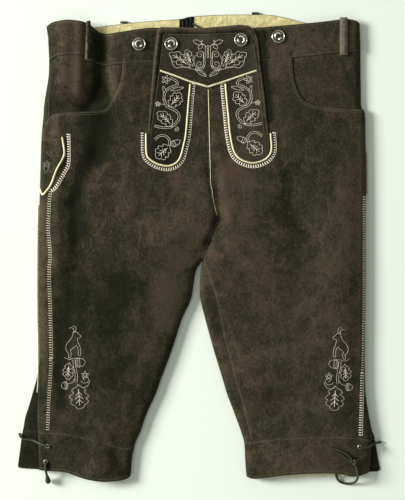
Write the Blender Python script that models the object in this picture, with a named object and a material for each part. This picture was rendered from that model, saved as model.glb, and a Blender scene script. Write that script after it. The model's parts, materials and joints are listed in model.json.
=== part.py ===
"""Knee breeches of brown suede, laid flat on a table with the front up.

Sizes are in millimetres until a mesh is made. +X runs to the picture's right, +Y towards the
waist, +Z up. Left and right are as seen from above. The table is z = 0.
"""

import math
from collections import defaultdict, namedtuple

import bpy
import numpy as np
from mathutils import Vector
from mathutils.geometry import delaunay_2d_cdt

MM = 0.001

# Thickness of the cloth, and the gaps kept between pieces
WALL = 1.4
BAND_WALL = 2.4
LINING = 1.2
GAP = 0.3
BACK_TOP = WALL + GAP
LAYER = WALL + GAP

# How the front rises from its side edge: a short upright lip, a round roll, then a slow crown
LIP = 2.6
HIP_LIP = 0.9
ROLL_RADIUS = 11.0
ROLL_RISE = 7.0
CROWN_REACH = 75.0
FOLD_FADE = 26.0

# Spacing of points on outlines, on trim and inside a panel
OUTLINE_STEP = 17.0
TRIM_STEP = 11.0
GRID = 30.0
RING_DEPTHS = (1.6, 5.0, 12.0)
MERGE = 0.02

HALF_LENGTH = 400.0

PIPING_WIDTH = 3.3
PIPING_RISE = 2.2
SIDE_PIPING_RADIUS = 1.3
BUTTON_RADIUS = 11.3
BUTTON_SEGMENTS = 24
EYELET_SEGMENTS = 14
SEAT_CLEARANCE = 0.05
EYELET_RADIUS = 3.7
EYELET_HOLE = 2.6
EYELET_HEIGHT = 0.9
LACE_RADIUS = 2.0
BACK_LACE_RADIUS = 1.4
LACE_STEP = 5.5

# The legs by section, from the waist to the hem. rise is the crown's height above the roll.
Section = namedtuple("Section", "y outer_left inner_left inner_right outer_right rise")
SECTIONS = [
    Section(390, -261.0, None, None, 273.5, 2.5),
    Section(374, -260.0, None, None, 274.0, 2.5),
    Section(346, -256.0, None, None, 275.0, 2.5),
    Section(317, -255.5, None, None, 275.4, 2.5),
    Section(290, -256.5, None, None, 275.6, 3.0),
    Section(262, -261.0, None, None, 276.0, 3.0),
    Section(238, -264.5, None, None, 276.8, 3.0),
    Section(226, -265.0, None, None, 282.8, 3.0),
    Section(181, -268.6, None, None, 284.0, 3.5),
    Section(104, -271.0, None, None, 284.8, 4.0),
    Section(40, -272.8, None, None, 284.2, 5.0),
    Section(-23, -273.5, 6.8, 6.8, 284.0, 6.0),
    Section(-40, -273.6, -4.6, 3.4, 284.0, 6.5),
    Section(-66, -273.7, -9.4, 1.9, 284.0, 7.0),
    Section(-91, -273.7, -14.0, 2.8, 283.8, 7.5),
    Section(-125, -273.2, -29.5, 11.0, 283.4, 8.0),
    Section(-176, -272.3, -46.0, 25.0, 283.0, 8.0),
    Section(-227, -272.6, -65.0, 40.6, 283.2, 8.0),
    Section(-252, -274.0, -74.0, 48.0, 284.2, 8.0),
    Section(-286, -275.2, -89.5, 61.0, 289.2, 7.5),
    Section(-315, -274.6, -99.5, 71.5, 294.6, 7.0),
    Section(-334, -273.8, -108.0, 77.0, 294.4, 7.0),
    Section(-360, -272.9, -114.0, 78.6, 292.4, 7.0),
    Section(-388, -272.0, -116.2, 80.6, 290.2, 7.0),
    Section(-403, -271.6, -118.0, 82.0, 289.6, 7.0),
]

# Top edge of the front waistband, left of the flap and right of it: x, y
WAIST_TOP = [
    (-270, 368), (-260, 374), (-250, 380.5), (-236, 383), (-222, 384), (-205, 382.5), (-189, 379),
    (-180, 372.5), (-171, 365.5), (-156, 362), (-134, 364.5), (-100, 369.5), (-72, 371.5),
    (0, 366), (60, 369), (97, 371.5), (172, 378), (223, 383.5), (248, 386.8), (267, 384), (276, 378),
]
WAIST_SEAM = [
    (-262, 311), (-254, 316.3), (-245, 321.3), (-236, 324), (-196, 324.6), (-177, 313.6),
    (-160, 307.4), (-134, 310), (-78, 312.8), (10, 313), (108, 314.2), (157, 320), (239, 329.4),
    (274, 331.6), (280, 332),
]
# The cuffs' seams and hems: x, y
CUFF_SEAM_LEFT = [
    (-280, -315.2), (-256, -315.4), (-228, -316.8), (-198, -322.6), (-165, -331), (-139, -339),
    (-123, -342), (-104, -336.5),
]
CUFF_SEAM_RIGHT = [
    (70, -332), (84.5, -332.6), (118, -327.2), (172, -323.2), (221, -322.2), (266, -324.2), (300, -330),
]
HEM_LEFT = [
    (-280, -380.6), (-243, -381.6), (-224, -383.8), (-204, -390.6), (-185, -396), (-165, -399.2),
    (-151, -399.4), (-132, -397.4), (-121, -394), (-112, -386),
]
HEM_RIGHT = [
    (74, -388), (90, -394.6), (114, -392.5), (143, -388.6), (182, -385.8), (221, -384.8),
    (246, -387), (256, -390.6), (272, -389.6), (296, -382),
]
# The seam down the middle to the crotch, and the right leg's inseam, turned up on to the front
CENTRE_SEAM = [
    (10, 420), (12, 330), (15.6, 271), (16.3, 249), (18.7, 154), (20.1, 108), (22.1, 97.8),
    (25.2, 75.6), (31, 52), (33.6, 43), (26.5, 28), (17.5, 6.8), (11.4, -12.8), (6.8, -23),
]
INSEAM_RIGHT = [
    (6.8, -23), (17, -53.5), (25.2, -76.7), (31.1, -99.5), (36.4, -123), (40, -145), (54.4, -201),
    (70.9, -261), (84, -312), (88, -328),
]
# Pocket mouths, from the waist seam to the side edge
MOUTH_LEFT = [
    (-129, 320), (-130, 303), (-131.2, 289), (-137.7, 267), (-149.6, 245.7), (-165, 231.5),
    (-204, 228.3), (-238.5, 226), (-254, 219), (-262, 205),
]
MOUTH_RIGHT = [
    (158, 330), (159.5, 303), (161, 288), (166.6, 267.8), (175.8, 251.3), (190, 242), (213, 236.2),
    (241, 233.8), (290, 232.4),
]

# The flap: its border strip outside and inside, and the V that the bib ends in
FLAP_OUTER = [
    (-86.2, 192.5), (-84.4, 226), (-81.6, 256), (-77.5, 311), (-73.4, 350), (-71, 366), (-65, 372.4),
    (10, 371), (70, 376.4), (84, 375), (93, 369), (98, 359), (101, 347), (104.5, 308), (111.6, 256),
    (117.8, 192.5),
]
FLAP_INNER = [
    (-83.3, 192.5), (-77, 238), (-70.7, 283), (-67.4, 312), (-64, 340), (-61, 361.4), (10, 361.4),
    (81, 364.4), (89, 353), (95.2, 341), (99, 315), (101.7, 291.6), (106.6, 245), (112.6, 192.5),
]
BIB_PIPING_X = (-66.4, 98.8)
TONGUE_HEAD = 8.0
CENTRE_PIPING_Y = (53.0, 266.8)
FACING_MARGIN = 11.0
BIB_EDGE = [
    (-74, 301), (-67.7, 298.9), (-40, 289.6), (-15.3, 280), (15.8, 270.9), (44, 280), (70, 289),
    (97, 298), (106, 301),
]
# Piping round the tongues, from the bib down, round the end, and up to the flap's border
TONGUE_LEFT = [
    (-14.7, 276.4), (-17.5, 246), (-19.6, 220), (-22.1, 192), (-25.8, 172.5), (-33.5, 147.5),
    (-48.6, 137), (-67, 138.9), (-83.2, 147.9), (-88.9, 159), (-89.8, 192.5),
]
TONGUE_RIGHT = [
    (44.9, 276.4), (47.6, 246), (50, 222), (52.2, 198), (56.1, 174), (62, 156.5), (74.3, 146),
    (92.5, 141.6), (111, 147), (120.6, 156.5), (123.2, 168), (121.6, 192.5),
]

# The knife pocket on the left thigh: its top edge, and the piping down its side to the tip
KNIFE_TOP = [(-265.4, 185.0), (-250, 186.4)]
KNIFE_PIPING = [(-232, 186), (-228.2, 160.5), (-231.4, 148), (-241.6, 129), (-251.4, 104.6), (-263.6, 88.6)]
KNIFE_INSET = 3.3

# Belt loops on the front band: x of both edges, y of both ends
FRONT_LOOPS = {"left": (-192.0, -181.5, 316.0, 382.5), "right": (239.0, 252.6, 325.0, 389.0)}
# Tips of the back belt loops above the back band: x of both edges, y of both ends
BACK_LOOP_TIPS = {"left": (-134.2, -122.4, 380.9, 384.0), "right": (90.2, 102.0, 396.3, 399.55)}
LOOP_TIP_HEIGHT = 3.4

BACK_BAND_TOP = [
    (-262, 352), (-230, 364), (-178.5, 373.6), (-151, 377), (-126, 380.4), (-83, 384.4), (-32.6, 388),
    (-22, 390.6), (-10.4, 392.4), (27, 394.8), (87, 395.8), (121, 394.9), (146, 390.6), (172, 384),
    (205, 377), (240, 370), (277, 360),
]
# The laced gusset in the back band: x of its sides at the top and at its foot
GUSSET_TOP = (-32.6, -8.4)
GUSSET_FOOT = (-22.0, -16.0)
GUSSET_FOOT_Y = 330.0
GUSSET_RIBS = 3
GUSSET_RIB_RISE = 1.6

# Slit edges of the back at both knees, outside the front's edge: x, y
SLIT_LEFT = [
    (-273.6, -205), (-277.5, -227), (-283.5, -249), (-289.8, -271), (-296, -290), (-299.5, -309),
    (-302.6, -325), (-305, -345), (-308.9, -374), (-308, -377), (-300.5, -378.4), (-268, -380.4),
]
SLIT_RIGHT = [
    (284.2, -252), (289, -286), (294.6, -312), (299.6, -326), (303.4, -349), (306.6, -368),
    (310.1, -382.4), (303, -384), (284, -384.6),
]
HEM_LINING_X = (132.6, 246.5)
HEM_LINING_Y = (-391.8, -368.0)
LINING_REACH = 186.0
LINING_DEPTH = 48.0
LINING_SET_BACK = 1.0
LINING_CLEAR = 1.0
SIDE_PIPING_LEFT_Y = (-249.0, 70.0)
SIDE_PIPING_RIGHT_Y = (90.0, 160.0)

# The back's outlines follow the lines above. Where each leaves one line for the next, in x or y:
BACK_WAIST_X = (-255.5, 275.4)
BACK_CENTRE_Y = (-23.0, 313.0)
BACK_OUTER_Y = {"left": (-200.0, 314.0), "right": (-248.0, 330.0)}
BACK_INNER_Y = {"left": (-336.0, -23.0), "right": (-331.0, -23.0)}
BACK_SLIT_Y = {"left": (-315.3, -206.0), "right": (-328.5, -253.0)}
BACK_CUFF_X = {"left": (-300.9, -110.0), "right": (77.6, 299.6)}
CUFF_INNER_Y = {"left": (-385.0, -341.0), "right": (-386.0, -336.0)}
CUFF_SLIT_Y = {"left": (-380.4, -317.0), "right": (-384.6, -331.0)}
CUFF_HEM_X = {"left": (-264.0, -118.5), "right": (82.5, 280.0)}
CUFF_HEM_RISE = 0.8
BAND_BACK_TOP_X = (-257.5, 274.5)

# Large folds of the front: a ridge, or a trough where height is below zero, along a segment
Fold = namedtuple("Fold", "x1 y1 x2 y2 width height")
FOLDS = [
    Fold(-221, 392, -232, 262, 24, 10.0),
    Fold(-162, 392, -160, 250, 17, -5.5),
    Fold(-165, 232, -190, 90, 22, -4.0),
    Fold(-239, 215, -240, -30, 9, 2.6),
    Fold(-222, 225, -226, 60, 9, -3.6),
    Fold(-246, -64, -206, -38, 9, -3.4),
    Fold(-236, -92, -238, -226, 9, -3.0),
    Fold(34, 44, 19, 8, 8, -7.5),
    Fold(19, 8, 8, -20, 8, -5.0),
    Fold(24, 128, 34, 50, 9, -3.5),
    Fold(44, 20, 92, -34, 13, 3.0),
    Fold(60, 62, 150, 26, 17, 2.6),
    Fold(-18, 34, -96, -6, 16, 2.6),
    Fold(-40, 84, -140, 60, 20, -2.2),
    Fold(180, 150, 262, 120, 20, 2.0),
    Fold(-142, -352, -117, -392, 10, -3.8),
    Fold(-160, -372, -196, -392, 14, 2.6),
    Fold(120, -250, 210, -300, 20, -2.4),
    Fold(-120, -200, -190, -262, 20, -2.4),
]
POCKET_SINK = Fold(-158, 262, -176, 240, 13, -3.2)

# Buttons: x, y of the centre, and whether it sits on the flap
BUTTONS = [(-101.5, 343.4, False), (-47.0, 343.6, True), (71.2, 350.4, True), (134.8, 356.1, False)]
EYELETS = {
    "left_upper": (-256.6, -338.9), "left_lower": (-260.2, -365.4),
    "right_upper": (272.8, -339.8), "right_lower": (272.8, -363.6),
}

# Routes of the laces: x, y, z
LACES = {
    "lace_left_upper": [
        (-256.6, -338.9, 17.4), (-262, -337.2, 16.8), (-269.3, -334.9, 14.0), (-275.2, -333.0, 9.6),
        (-280.2, -331.4, 5.6), (-286, -330, 3.9), (-293, -329, 3.8), (-298.4, -327.9, 3.9),
        (-302.4, -325.4, 4.0), (-305.3, -322, 3.2), (-306.2, -318.4, 2.4),
    ],
    "lace_left_lower": [
        (-260.1, -365.5, 16.9), (-260.2, -370, 16.5), (-260, -376, 16.4), (-259.6, -381, 16.2),
        (-259, -384.8, 14.6), (-258.5, -387.8, 12.2),
    ],
    "lace_right_upper": [
        (272.8, -339.8, 18.1), (278, -341, 17.3), (284, -341.6, 16.0), (290, -340, 13.7),
        (295.6, -337.2, 9.7), (299.5, -335.4, 6.1), (304, -334.4, 3.5), (308, -333.8, 2.5),
        (311, -333.6, 2.3),
    ],
    "lace_right_end_upper": [
        (258.4, -360.2, 19.5), (250.8, -352.8, 19.6), (238.7, -345.8, 20.3), (223, -340.6, 20.7),
    ],
    "lace_right_end_lower": [
        (256.1, -364, 19.2), (249.5, -358.6, 19.4), (240.5, -352.4, 20.1), (231, -349, 20.6),
        (223, -348.2, 20.9),
    ],
    "lace_right_loop": [
        (265.3, -370.2, 17.9), (266.9, -375, 17.6), (268.2, -382, 17.5), (268.8, -388.4, 17.3),
        (268.8, -392.6, 15.6), (268.2, -396.6, 12.2), (265.8, -400.6, 7.8), (261, -403.2, 4.6),
        (254.5, -404.6, 2.9), (247.5, -404, 2.4), (241, -401.6, 2.5), (237, -397.8, 3.2),
        (234.6, -393, 4.8), (233.6, -387.6, 5.5), (233.4, -382, 5.6), (233.6, -376, 5.6),
    ],
    "lace_back": [
        (-10.5, 380.5, 5.2), (-8.2, 377.2, 5.0), (-4.6, 375.6, 5.0), (-1.2, 374.2, 5.0),
        (0.8, 371, 5.0), (0.8, 366, 5.0), (2.4, 360, 5.0), (3.8, 353, 5.0), (3.4, 345, 5.0),
    ],
}
# The swollen end of the lower left lace, from the lace down to the table
LACE_END = {"start": (-258.4, -388.3, 11.8), "stop": (-256.2, -403.4, 5.3), "radius": 4.9}
# The knot beside the lower right eyelet: centre and half sizes
KNOT_CENTRE = (262.6, -364.8, 20.1)
KNOT_HALF = (6.0, 5.4, 3.9)

COLOURS = {
    "suede": (0.045, 0.033, 0.022),
    "flap_suede": (0.052, 0.036, 0.028),
    "piping": (0.79, 0.70, 0.38),
    "lining": (0.66, 0.60, 0.36),
    "gusset": (0.02, 0.018, 0.015),
    "lace": (0.035, 0.042, 0.026),
    "button": (0.55, 0.54, 0.50),
    "eyelet": (0.42, 0.40, 0.34),
}
METALS = {"button", "eyelet"}
ROUGHNESS = {"button": 0.3, "eyelet": 0.35, "lining": 0.7, "piping": 0.7}


def clear_scene():
    for thing in list(bpy.data.objects):
        bpy.data.objects.remove(thing, do_unlink=True)


def material(name):
    made = bpy.data.materials.get(name)
    if made:
        return made
    made = bpy.data.materials.new(name)
    made.use_nodes = True
    shader = made.node_tree.nodes["Principled BSDF"]
    shader.inputs["Base Color"].default_value = (*COLOURS[name], 1.0)
    shader.inputs["Roughness"].default_value = ROUGHNESS.get(name, 0.9)
    shader.inputs["Metallic"].default_value = 1.0 if name in METALS else 0.0
    return made


def add_object(name, points, faces, finish):
    mesh = bpy.data.meshes.new(name)
    mesh.from_pydata([Vector(p) * MM for p in points], [], faces)
    mesh.validate()
    mesh.materials.append(material(finish))
    thing = bpy.data.objects.new(name, mesh)
    bpy.context.scene.collection.objects.link(thing)
    mesh.shade_smooth()
    mesh.set_sharp_from_angle(angle=math.radians(40))
    return thing


# Lines and distances

def even_steps(points, step):
    """The line's points at even distances of about step, with both ends kept."""
    line = np.asarray(points, float)
    run = np.concatenate([[0.0], np.cumsum(np.linalg.norm(np.diff(line, axis=0), axis=1))])
    count = max(1, round(run[-1] / step))
    at = np.linspace(0.0, run[-1], count + 1)
    return np.column_stack([np.interp(at, run, line[:, k]) for k in range(line.shape[1])])


def smooth_line(points, step, fineness=8):
    """A Catmull-Rom curve through the points, sampled at even steps."""
    line = np.asarray(points, float)
    ends = np.vstack([2 * line[0] - line[1], line, 2 * line[-1] - line[-2]])
    curve = []
    for before, start, end, after in zip(ends, ends[1:], ends[2:], ends[3:]):
        for t in np.arange(fineness) / fineness:
            curve.append(
                0.5 * (2 * start + (end - before) * t
                       + (2 * before - 5 * start + 4 * end - after) * t**2
                       + (3 * start - before - 3 * end + after) * t**3)
            )
    curve.append(line[-1])
    return even_steps(curve, step)


def normals(line):
    """Unit normals to the left of a line's direction."""
    along = np.gradient(line[:, :2], axis=0)
    along /= np.linalg.norm(along, axis=1)[:, None]
    return np.column_stack([-along[:, 1], along[:, 0]])


def offset(line, distance):
    return line[:, :2] + normals(line) * distance


def distance_to(line, points):
    """Distance from each point to the nearest place on a line."""
    start, along = line[:-1], np.diff(line, axis=0)
    length2 = np.maximum((along**2).sum(1), 1e-9)
    away = points[:, None] - start[None]
    t = np.clip((away * along[None]).sum(2) / length2[None], 0.0, 1.0)
    return np.linalg.norm(away - t[..., None] * along[None], axis=2).min(1)


def inside(polygon, points):
    """Which points lie inside a closed polygon, by counting the edges to their right."""
    x, y = points[:, 0], points[:, 1]
    found = np.zeros(len(points), bool)
    for (x1, y1), (x2, y2) in zip(polygon, np.roll(polygon, -1, axis=0)):
        crosses = (y1 > y) != (y2 > y)
        with np.errstate(divide="ignore", invalid="ignore"):
            found ^= crosses & (x < (x2 - x1) * (y - y1) / (y2 - y1) + x1)
    return found


def above(line, points):
    order = np.argsort(line[:, 0])
    return points[:, 1] > np.interp(points[:, 0], line[order, 0], line[order, 1])


def left_of(line, points):
    order = np.argsort(line[:, 1])
    return points[:, 0] < np.interp(points[:, 1], line[order, 1], line[order, 0])


def stretch(line, axis, low, high):
    """The part of a line between two values of x (axis 0) or y (axis 1), with cut ends added."""
    line = line if line[0, axis] < line[-1, axis] else line[::-1]
    ends = [[np.interp(v, line[:, axis], line[:, k]) for k in (0, 1)] for v in (low, high)]
    kept = line[(line[:, axis] > low + 1.0) & (line[:, axis] < high - 1.0)]
    return np.vstack([ends[0], kept, ends[1]])


def side_line(column):
    rows = [(getattr(s, column), s.y) for s in SECTIONS if getattr(s, column) is not None]
    return smooth_line(rows, OUTLINE_STEP)


OUTER_LEFT = side_line("outer_left")
OUTER_RIGHT = side_line("outer_right")
INNER_LEFT = side_line("inner_left")
INNER_RIGHT = side_line("inner_right")
SIDES = [OUTER_LEFT, OUTER_RIGHT, INNER_LEFT, INNER_RIGHT]
RISE_Y = np.array([s.y for s in SECTIONS[::-1]], float)
RISE = np.array([s.rise for s in SECTIONS[::-1]], float)


def edge_distance(points):
    return np.min([distance_to(line, points) for line in SIDES], axis=0)


def fold_height(points, folds):
    total = np.zeros(len(points))
    for fold in folds:
        segment = np.array([(fold.x1, fold.y1), (fold.x2, fold.y2)], float)
        total += fold.height * np.exp(-((distance_to(segment, points) / fold.width) ** 2))
    return total


def relief(points, inset=0.0):
    """Height of the front's outer face. inset moves its side edges inwards, for an inner face."""
    depth = np.maximum(edge_distance(points) - inset, 0.0)
    round_part = 1.0 - np.minimum(depth / ROLL_RADIUS, 1.0)
    roll = ROLL_RISE * np.sqrt(1.0 - round_part**2)
    crown = 1.0 - (1.0 - np.minimum(depth / CROWN_REACH, 1.0)) ** 2
    fade = np.minimum(depth / FOLD_FADE, 1.0)
    fade = fade * fade * (3.0 - 2.0 * fade)
    rise = np.interp(points[:, 1], RISE_Y, RISE)
    return BACK_TOP + LIP + roll + rise * crown + fade * fold_height(points, FOLDS)


def under(points, wall):
    """Height of the front's inner face: flat on the back at the side edges."""
    inner = np.maximum(relief(points, inset=WALL) - wall, BACK_TOP)
    return np.where(edge_distance(points) <= RING_DEPTHS[0] + 0.2, BACK_TOP, inner)


# One shared plan of triangles for the whole front, so that layers can't cross

class Plan:
    def __init__(self):
        self.points = []
        self.edges = []

    def add_line(self, line, closed=False):
        first = len(self.points)
        self.points += [tuple(p[:2]) for p in line]
        self.edges += [(first + i, first + i + 1) for i in range(len(line) - 1)]
        if closed:
            self.edges.append((first + len(line) - 1, first))

    def add_points(self, points):
        self.points += [tuple(p) for p in points]

    def fill(self, wanted, spacing):
        """Points in staggered rows wherever wanted says so, clear of every line."""
        rows = np.arange(-HALF_LENGTH, HALF_LENGTH, spacing * math.sqrt(3) / 2)
        grid = np.array([
            (x + (spacing / 2 if k % 2 else 0.0), y)
            for k, y in enumerate(rows) for x in np.arange(-HALF_LENGTH, HALF_LENGTH, spacing)
        ])
        grid = grid[wanted(grid)]
        placed = np.array(self.points)
        near = np.array([np.hypot(*(placed - g).T).min() for g in grid])
        self.add_points(grid[near > 0.55 * spacing])

    def triangulate(self):
        made = delaunay_2d_cdt([Vector(p) for p in self.points], self.edges, [], 0, MERGE)
        self.xy = np.array([tuple(v) for v in made[0]], float)
        triangles = np.array([f for f in made[2] if len(f) == 3], int)
        a, b, c = (self.xy[triangles[:, k]] for k in range(3))
        area = (b[:, 0] - a[:, 0]) * (c[:, 1] - a[:, 1]) - (b[:, 1] - a[:, 1]) * (c[:, 0] - a[:, 0])
        triangles[area < 0] = triangles[area < 0][:, ::-1]
        self.triangles = triangles[np.abs(area) > 1e-4]
        self.middles = self.xy[self.triangles].mean(1)


def rim_edges(triangles):
    """The edges that only one triangle has, in its own direction."""
    count = defaultdict(int)
    for triangle in triangles:
        for i in range(3):
            count[tuple(sorted((triangle[i], triangle[(i + 1) % 3])))] += 1
    return [
        (t[i], t[(i + 1) % 3]) for t in triangles for i in range(3)
        if count[tuple(sorted((t[i], t[(i + 1) % 3])))] == 1
    ]


def drawn_in(xy, triangles, rim, heights):
    """Moves the rim inwards by half a gap, along the triangles that are already there."""
    moved_xy, moved = xy.copy(), [h.copy() for h in heights]
    ways = defaultdict(list)
    for a, b in rim:
        along = (xy[b] - xy[a]) / max(np.linalg.norm(xy[b] - xy[a]), 1e-9)
        for end in (a, b):
            ways[end].append(np.array([-along[1], along[0]]))
    around = defaultdict(list)
    for triangle in triangles:
        for corner in triangle:
            if corner in ways:
                around[corner].append(triangle)
    for corner, inward in ways.items():
        way = np.sum(inward, axis=0)
        way = way / max(np.linalg.norm(way), 1e-9)
        reach = GAP / 2 / max(min(float(way @ n) for n in inward), 0.45)
        target = xy[corner] + way * reach
        best, weights = None, None
        for triangle in around[corner]:
            a, b, c = xy[list(triangle)]
            solved = np.linalg.lstsq(np.column_stack([b - a, c - a]), target - a, rcond=None)[0]
            shares = np.array([1 - solved.sum(), *solved])
            if best is None or shares.min() > best:
                best, weights, chosen = shares.min(), shares, triangle
        weights = np.clip(weights, 0.0, None)
        weights = weights / weights.sum()
        moved_xy[corner] = weights @ xy[list(chosen)]
        for height, source in zip(moved, heights):
            height[corner] = weights @ source[list(chosen)]
    return moved_xy, moved


def sheet_from(name, xy, triangles, top, bottom, finish):
    """A closed sheet on a set of plan triangles. top and bottom are heights at every plan point."""
    rim = rim_edges(triangles)
    xy, (top, bottom) = drawn_in(xy, triangles, rim, (top, bottom))
    used = np.unique(triangles)
    place = {v: i for i, v in enumerate(used)}
    count = len(used)
    points = [(*xy[v], top[v]) for v in used] + [(*xy[v], bottom[v]) for v in used]
    faces = [tuple(place[v] for v in t) for t in triangles]
    faces += [tuple(place[v] + count for v in t[::-1]) for t in triangles]
    for a, b in rim:
        i, j = place[a], place[b]
        faces.append((i + count, j + count, j, i))
    return add_object(name, points, faces, finish)


def plate(name, outline, low, high, finish):
    """A flat sheet with its own outline."""
    plan = Plan()
    plan.add_line(outline, closed=True)
    plan.triangulate()
    chosen = plan.triangles[inside(np.asarray(outline, float), plan.middles)]
    flat = np.ones(len(plan.xy))
    return sheet_from(name, plan.xy, chosen, flat * high, flat * low, finish)


# The lines of the front

WAIST_TOP_LINE = smooth_line(WAIST_TOP, OUTLINE_STEP)
WAIST_SEAM_LINE = smooth_line(WAIST_SEAM, OUTLINE_STEP)
CUFF_LEFT_LINE = smooth_line(CUFF_SEAM_LEFT, OUTLINE_STEP)
CUFF_RIGHT_LINE = smooth_line(CUFF_SEAM_RIGHT, OUTLINE_STEP)
HEM_LEFT_LINE = smooth_line(HEM_LEFT, OUTLINE_STEP)
HEM_RIGHT_LINE = smooth_line(HEM_RIGHT, OUTLINE_STEP)
CENTRE_LINE = smooth_line(CENTRE_SEAM, OUTLINE_STEP)
INSEAM_LINE = smooth_line(INSEAM_RIGHT, OUTLINE_STEP)
MOUTH_LEFT_LINE = smooth_line(MOUTH_LEFT, TRIM_STEP)
MOUTH_RIGHT_LINE = smooth_line(MOUTH_RIGHT, TRIM_STEP)
FLAP_OUTER_LINE = even_steps(FLAP_OUTER, TRIM_STEP * 1.5)
FLAP_INNER_LINE = even_steps(FLAP_INNER, TRIM_STEP * 1.5)
BIB_LINE = even_steps(BIB_EDGE, TRIM_STEP * 1.4)
KNIFE_LINE = smooth_line(KNIFE_PIPING, TRIM_STEP)
TONGUE_LINES = {"left": smooth_line(TONGUE_LEFT, TRIM_STEP), "right": smooth_line(TONGUE_RIGHT, TRIM_STEP)}


def is_front(points):
    """Inside both outer sides, below the waist's top, above the hems, outside the gap of the legs."""
    crotch_y = INNER_LEFT[:, 1].max()
    between = (points[:, 1] < crotch_y) & ~left_of(INNER_LEFT, points) & left_of(INNER_RIGHT, points)
    hem = np.where(points[:, 0] < 0, above(HEM_LEFT_LINE, points), above(HEM_RIGHT_LINE, points))
    return (
        ~left_of(OUTER_LEFT, points) & left_of(OUTER_RIGHT, points)
        & ~above(WAIST_TOP_LINE, points) & hem & ~between
    )


def strip_outline(line, width):
    return np.vstack([offset(line, width / 2), offset(line, -width / 2)[::-1]])


def tongue_inner(side):
    """The tongue's own edge, inside its piping."""
    return offset(TONGUE_LINES[side], -PIPING_WIDTH / 2 if side == "left" else PIPING_WIDTH / 2)


def knife_outline():
    edge = offset(KNIFE_LINE, -PIPING_WIDTH / 2)
    side = stretch(offset(OUTER_LEFT, KNIFE_INSET), 1, edge[-1, 1] + 6.0, KNIFE_TOP[0][1] - 5.0)
    return np.vstack([KNIFE_TOP, edge, side])


def loop_outline(side):
    x1, x2, y1, y2 = FRONT_LOOPS[side]
    return np.array([(x1, y1), (x2, y1), (x2, y2), (x1, y2)])


PIPED = {
    "piping_bib": stretch(BIB_LINE, 0, *BIB_PIPING_X),
    "piping_tongue_left": TONGUE_LINES["left"],
    "piping_tongue_right": TONGUE_LINES["right"],
    "piping_centre": stretch(CENTRE_LINE, 1, *CENTRE_PIPING_Y),
    "piping_knife_pocket": KNIFE_LINE,
}


def front_plan():
    plan = Plan()
    open_lines = [
        WAIST_TOP_LINE, WAIST_SEAM_LINE, CUFF_LEFT_LINE, CUFF_RIGHT_LINE, HEM_LEFT_LINE,
        HEM_RIGHT_LINE, CENTRE_LINE, INSEAM_LINE, MOUTH_LEFT_LINE, MOUTH_RIGHT_LINE, BIB_LINE,
        offset(MOUTH_LEFT_LINE, FACING_MARGIN), offset(MOUTH_RIGHT_LINE, -FACING_MARGIN),
    ]
    for line in open_lines:
        plan.add_line(line)
    for line, inward in zip(SIDES, (1, -1, -1, 1)):
        plan.add_line(line)
        for depth in RING_DEPTHS:
            plan.add_line(offset(line, inward * depth))
    for outline in (FLAP_OUTER_LINE, FLAP_INNER_LINE, knife_outline(), *map(loop_outline, FRONT_LOOPS)):
        plan.add_line(outline, closed=True)
    for line in PIPED.values():
        plan.add_line(strip_outline(line, PIPING_WIDTH), closed=True)
    for side in TONGUE_LINES:
        start = tongue_inner(side)[0]
        plan.add_line([start, (start[0], start[1] + TONGUE_HEAD)])
    plan.fill(is_front, GRID)
    plan.triangulate()
    return plan


def facets_at(plan, heights, points):
    """Heights on the plan's own triangles, which differ a little from the smooth relief."""
    a, b, c = (plan.xy[plan.triangles[:, k]] for k in range(3))
    along, across = b - a, c - a
    area = along[:, 0] * across[:, 1] - along[:, 1] * across[:, 0]
    found = []
    for point in np.asarray(points, float)[:, :2]:
        away = point - a
        u = (away[:, 0] * across[:, 1] - away[:, 1] * across[:, 0]) / area
        v = (along[:, 0] * away[:, 1] - along[:, 1] * away[:, 0]) / area
        best = np.argmax(np.minimum(np.minimum(u, v), 1 - u - v))
        shares = np.array([1 - u[best] - v[best], u[best], v[best]])
        found.append(shares @ heights[plan.triangles[best]])
    return np.array(found)


def base_regions(plan):
    """Each front piece that lies on no other, and the plan triangles that it covers."""
    p = plan.middles
    front = is_front(p)
    crotch_y = INNER_LEFT[:, 1].max()
    left = np.where(p[:, 1] > crotch_y, left_of(CENTRE_LINE, p), left_of(INNER_RIGHT, p))
    cuff = np.where(left, ~above(CUFF_LEFT_LINE, p), ~above(CUFF_RIGHT_LINE, p))
    band = above(WAIST_SEAM_LINE, p)
    mouth = {
        "left": inside(np.vstack([MOUTH_LEFT_LINE, (-300, 205), (-300, 330)]), p),
        "right": inside(np.vstack([MOUTH_RIGHT_LINE, (310, 232), (310, 340)]), p),
    }
    turn = ~left & (p[:, 1] < crotch_y) & left_of(INSEAM_LINE, p) & ~cuff
    regions = {}
    for side, here in (("left", left), ("right", ~left)):
        regions[f"band_{side}"] = front & here & band
        regions[f"cuff_{side}"] = front & here & cuff
        regions[f"hip_{side}"] = front & here & ~band & mouth[side]
        regions[f"front_{side}"] = front & here & ~band & ~cuff & ~mouth[side] & ~turn
    regions["back_right_turn"] = front & turn
    return regions


def facing_margins(plan, regions):
    """Where each hip piece goes on under the pocket mouth, clear of the side's roll."""
    p = plan.middles
    clear = edge_distance(p) > RING_DEPTHS[-1]
    left_strip = np.vstack([MOUTH_LEFT_LINE, offset(MOUTH_LEFT_LINE, FACING_MARGIN)[::-1]])
    right_strip = np.vstack([MOUTH_RIGHT_LINE, offset(MOUTH_RIGHT_LINE, -FACING_MARGIN)[::-1]])
    return {
        "left": regions["front_left"] & clear & inside(left_strip, p),
        "right": regions["front_right"] & clear & inside(right_strip, p),
    }


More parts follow.
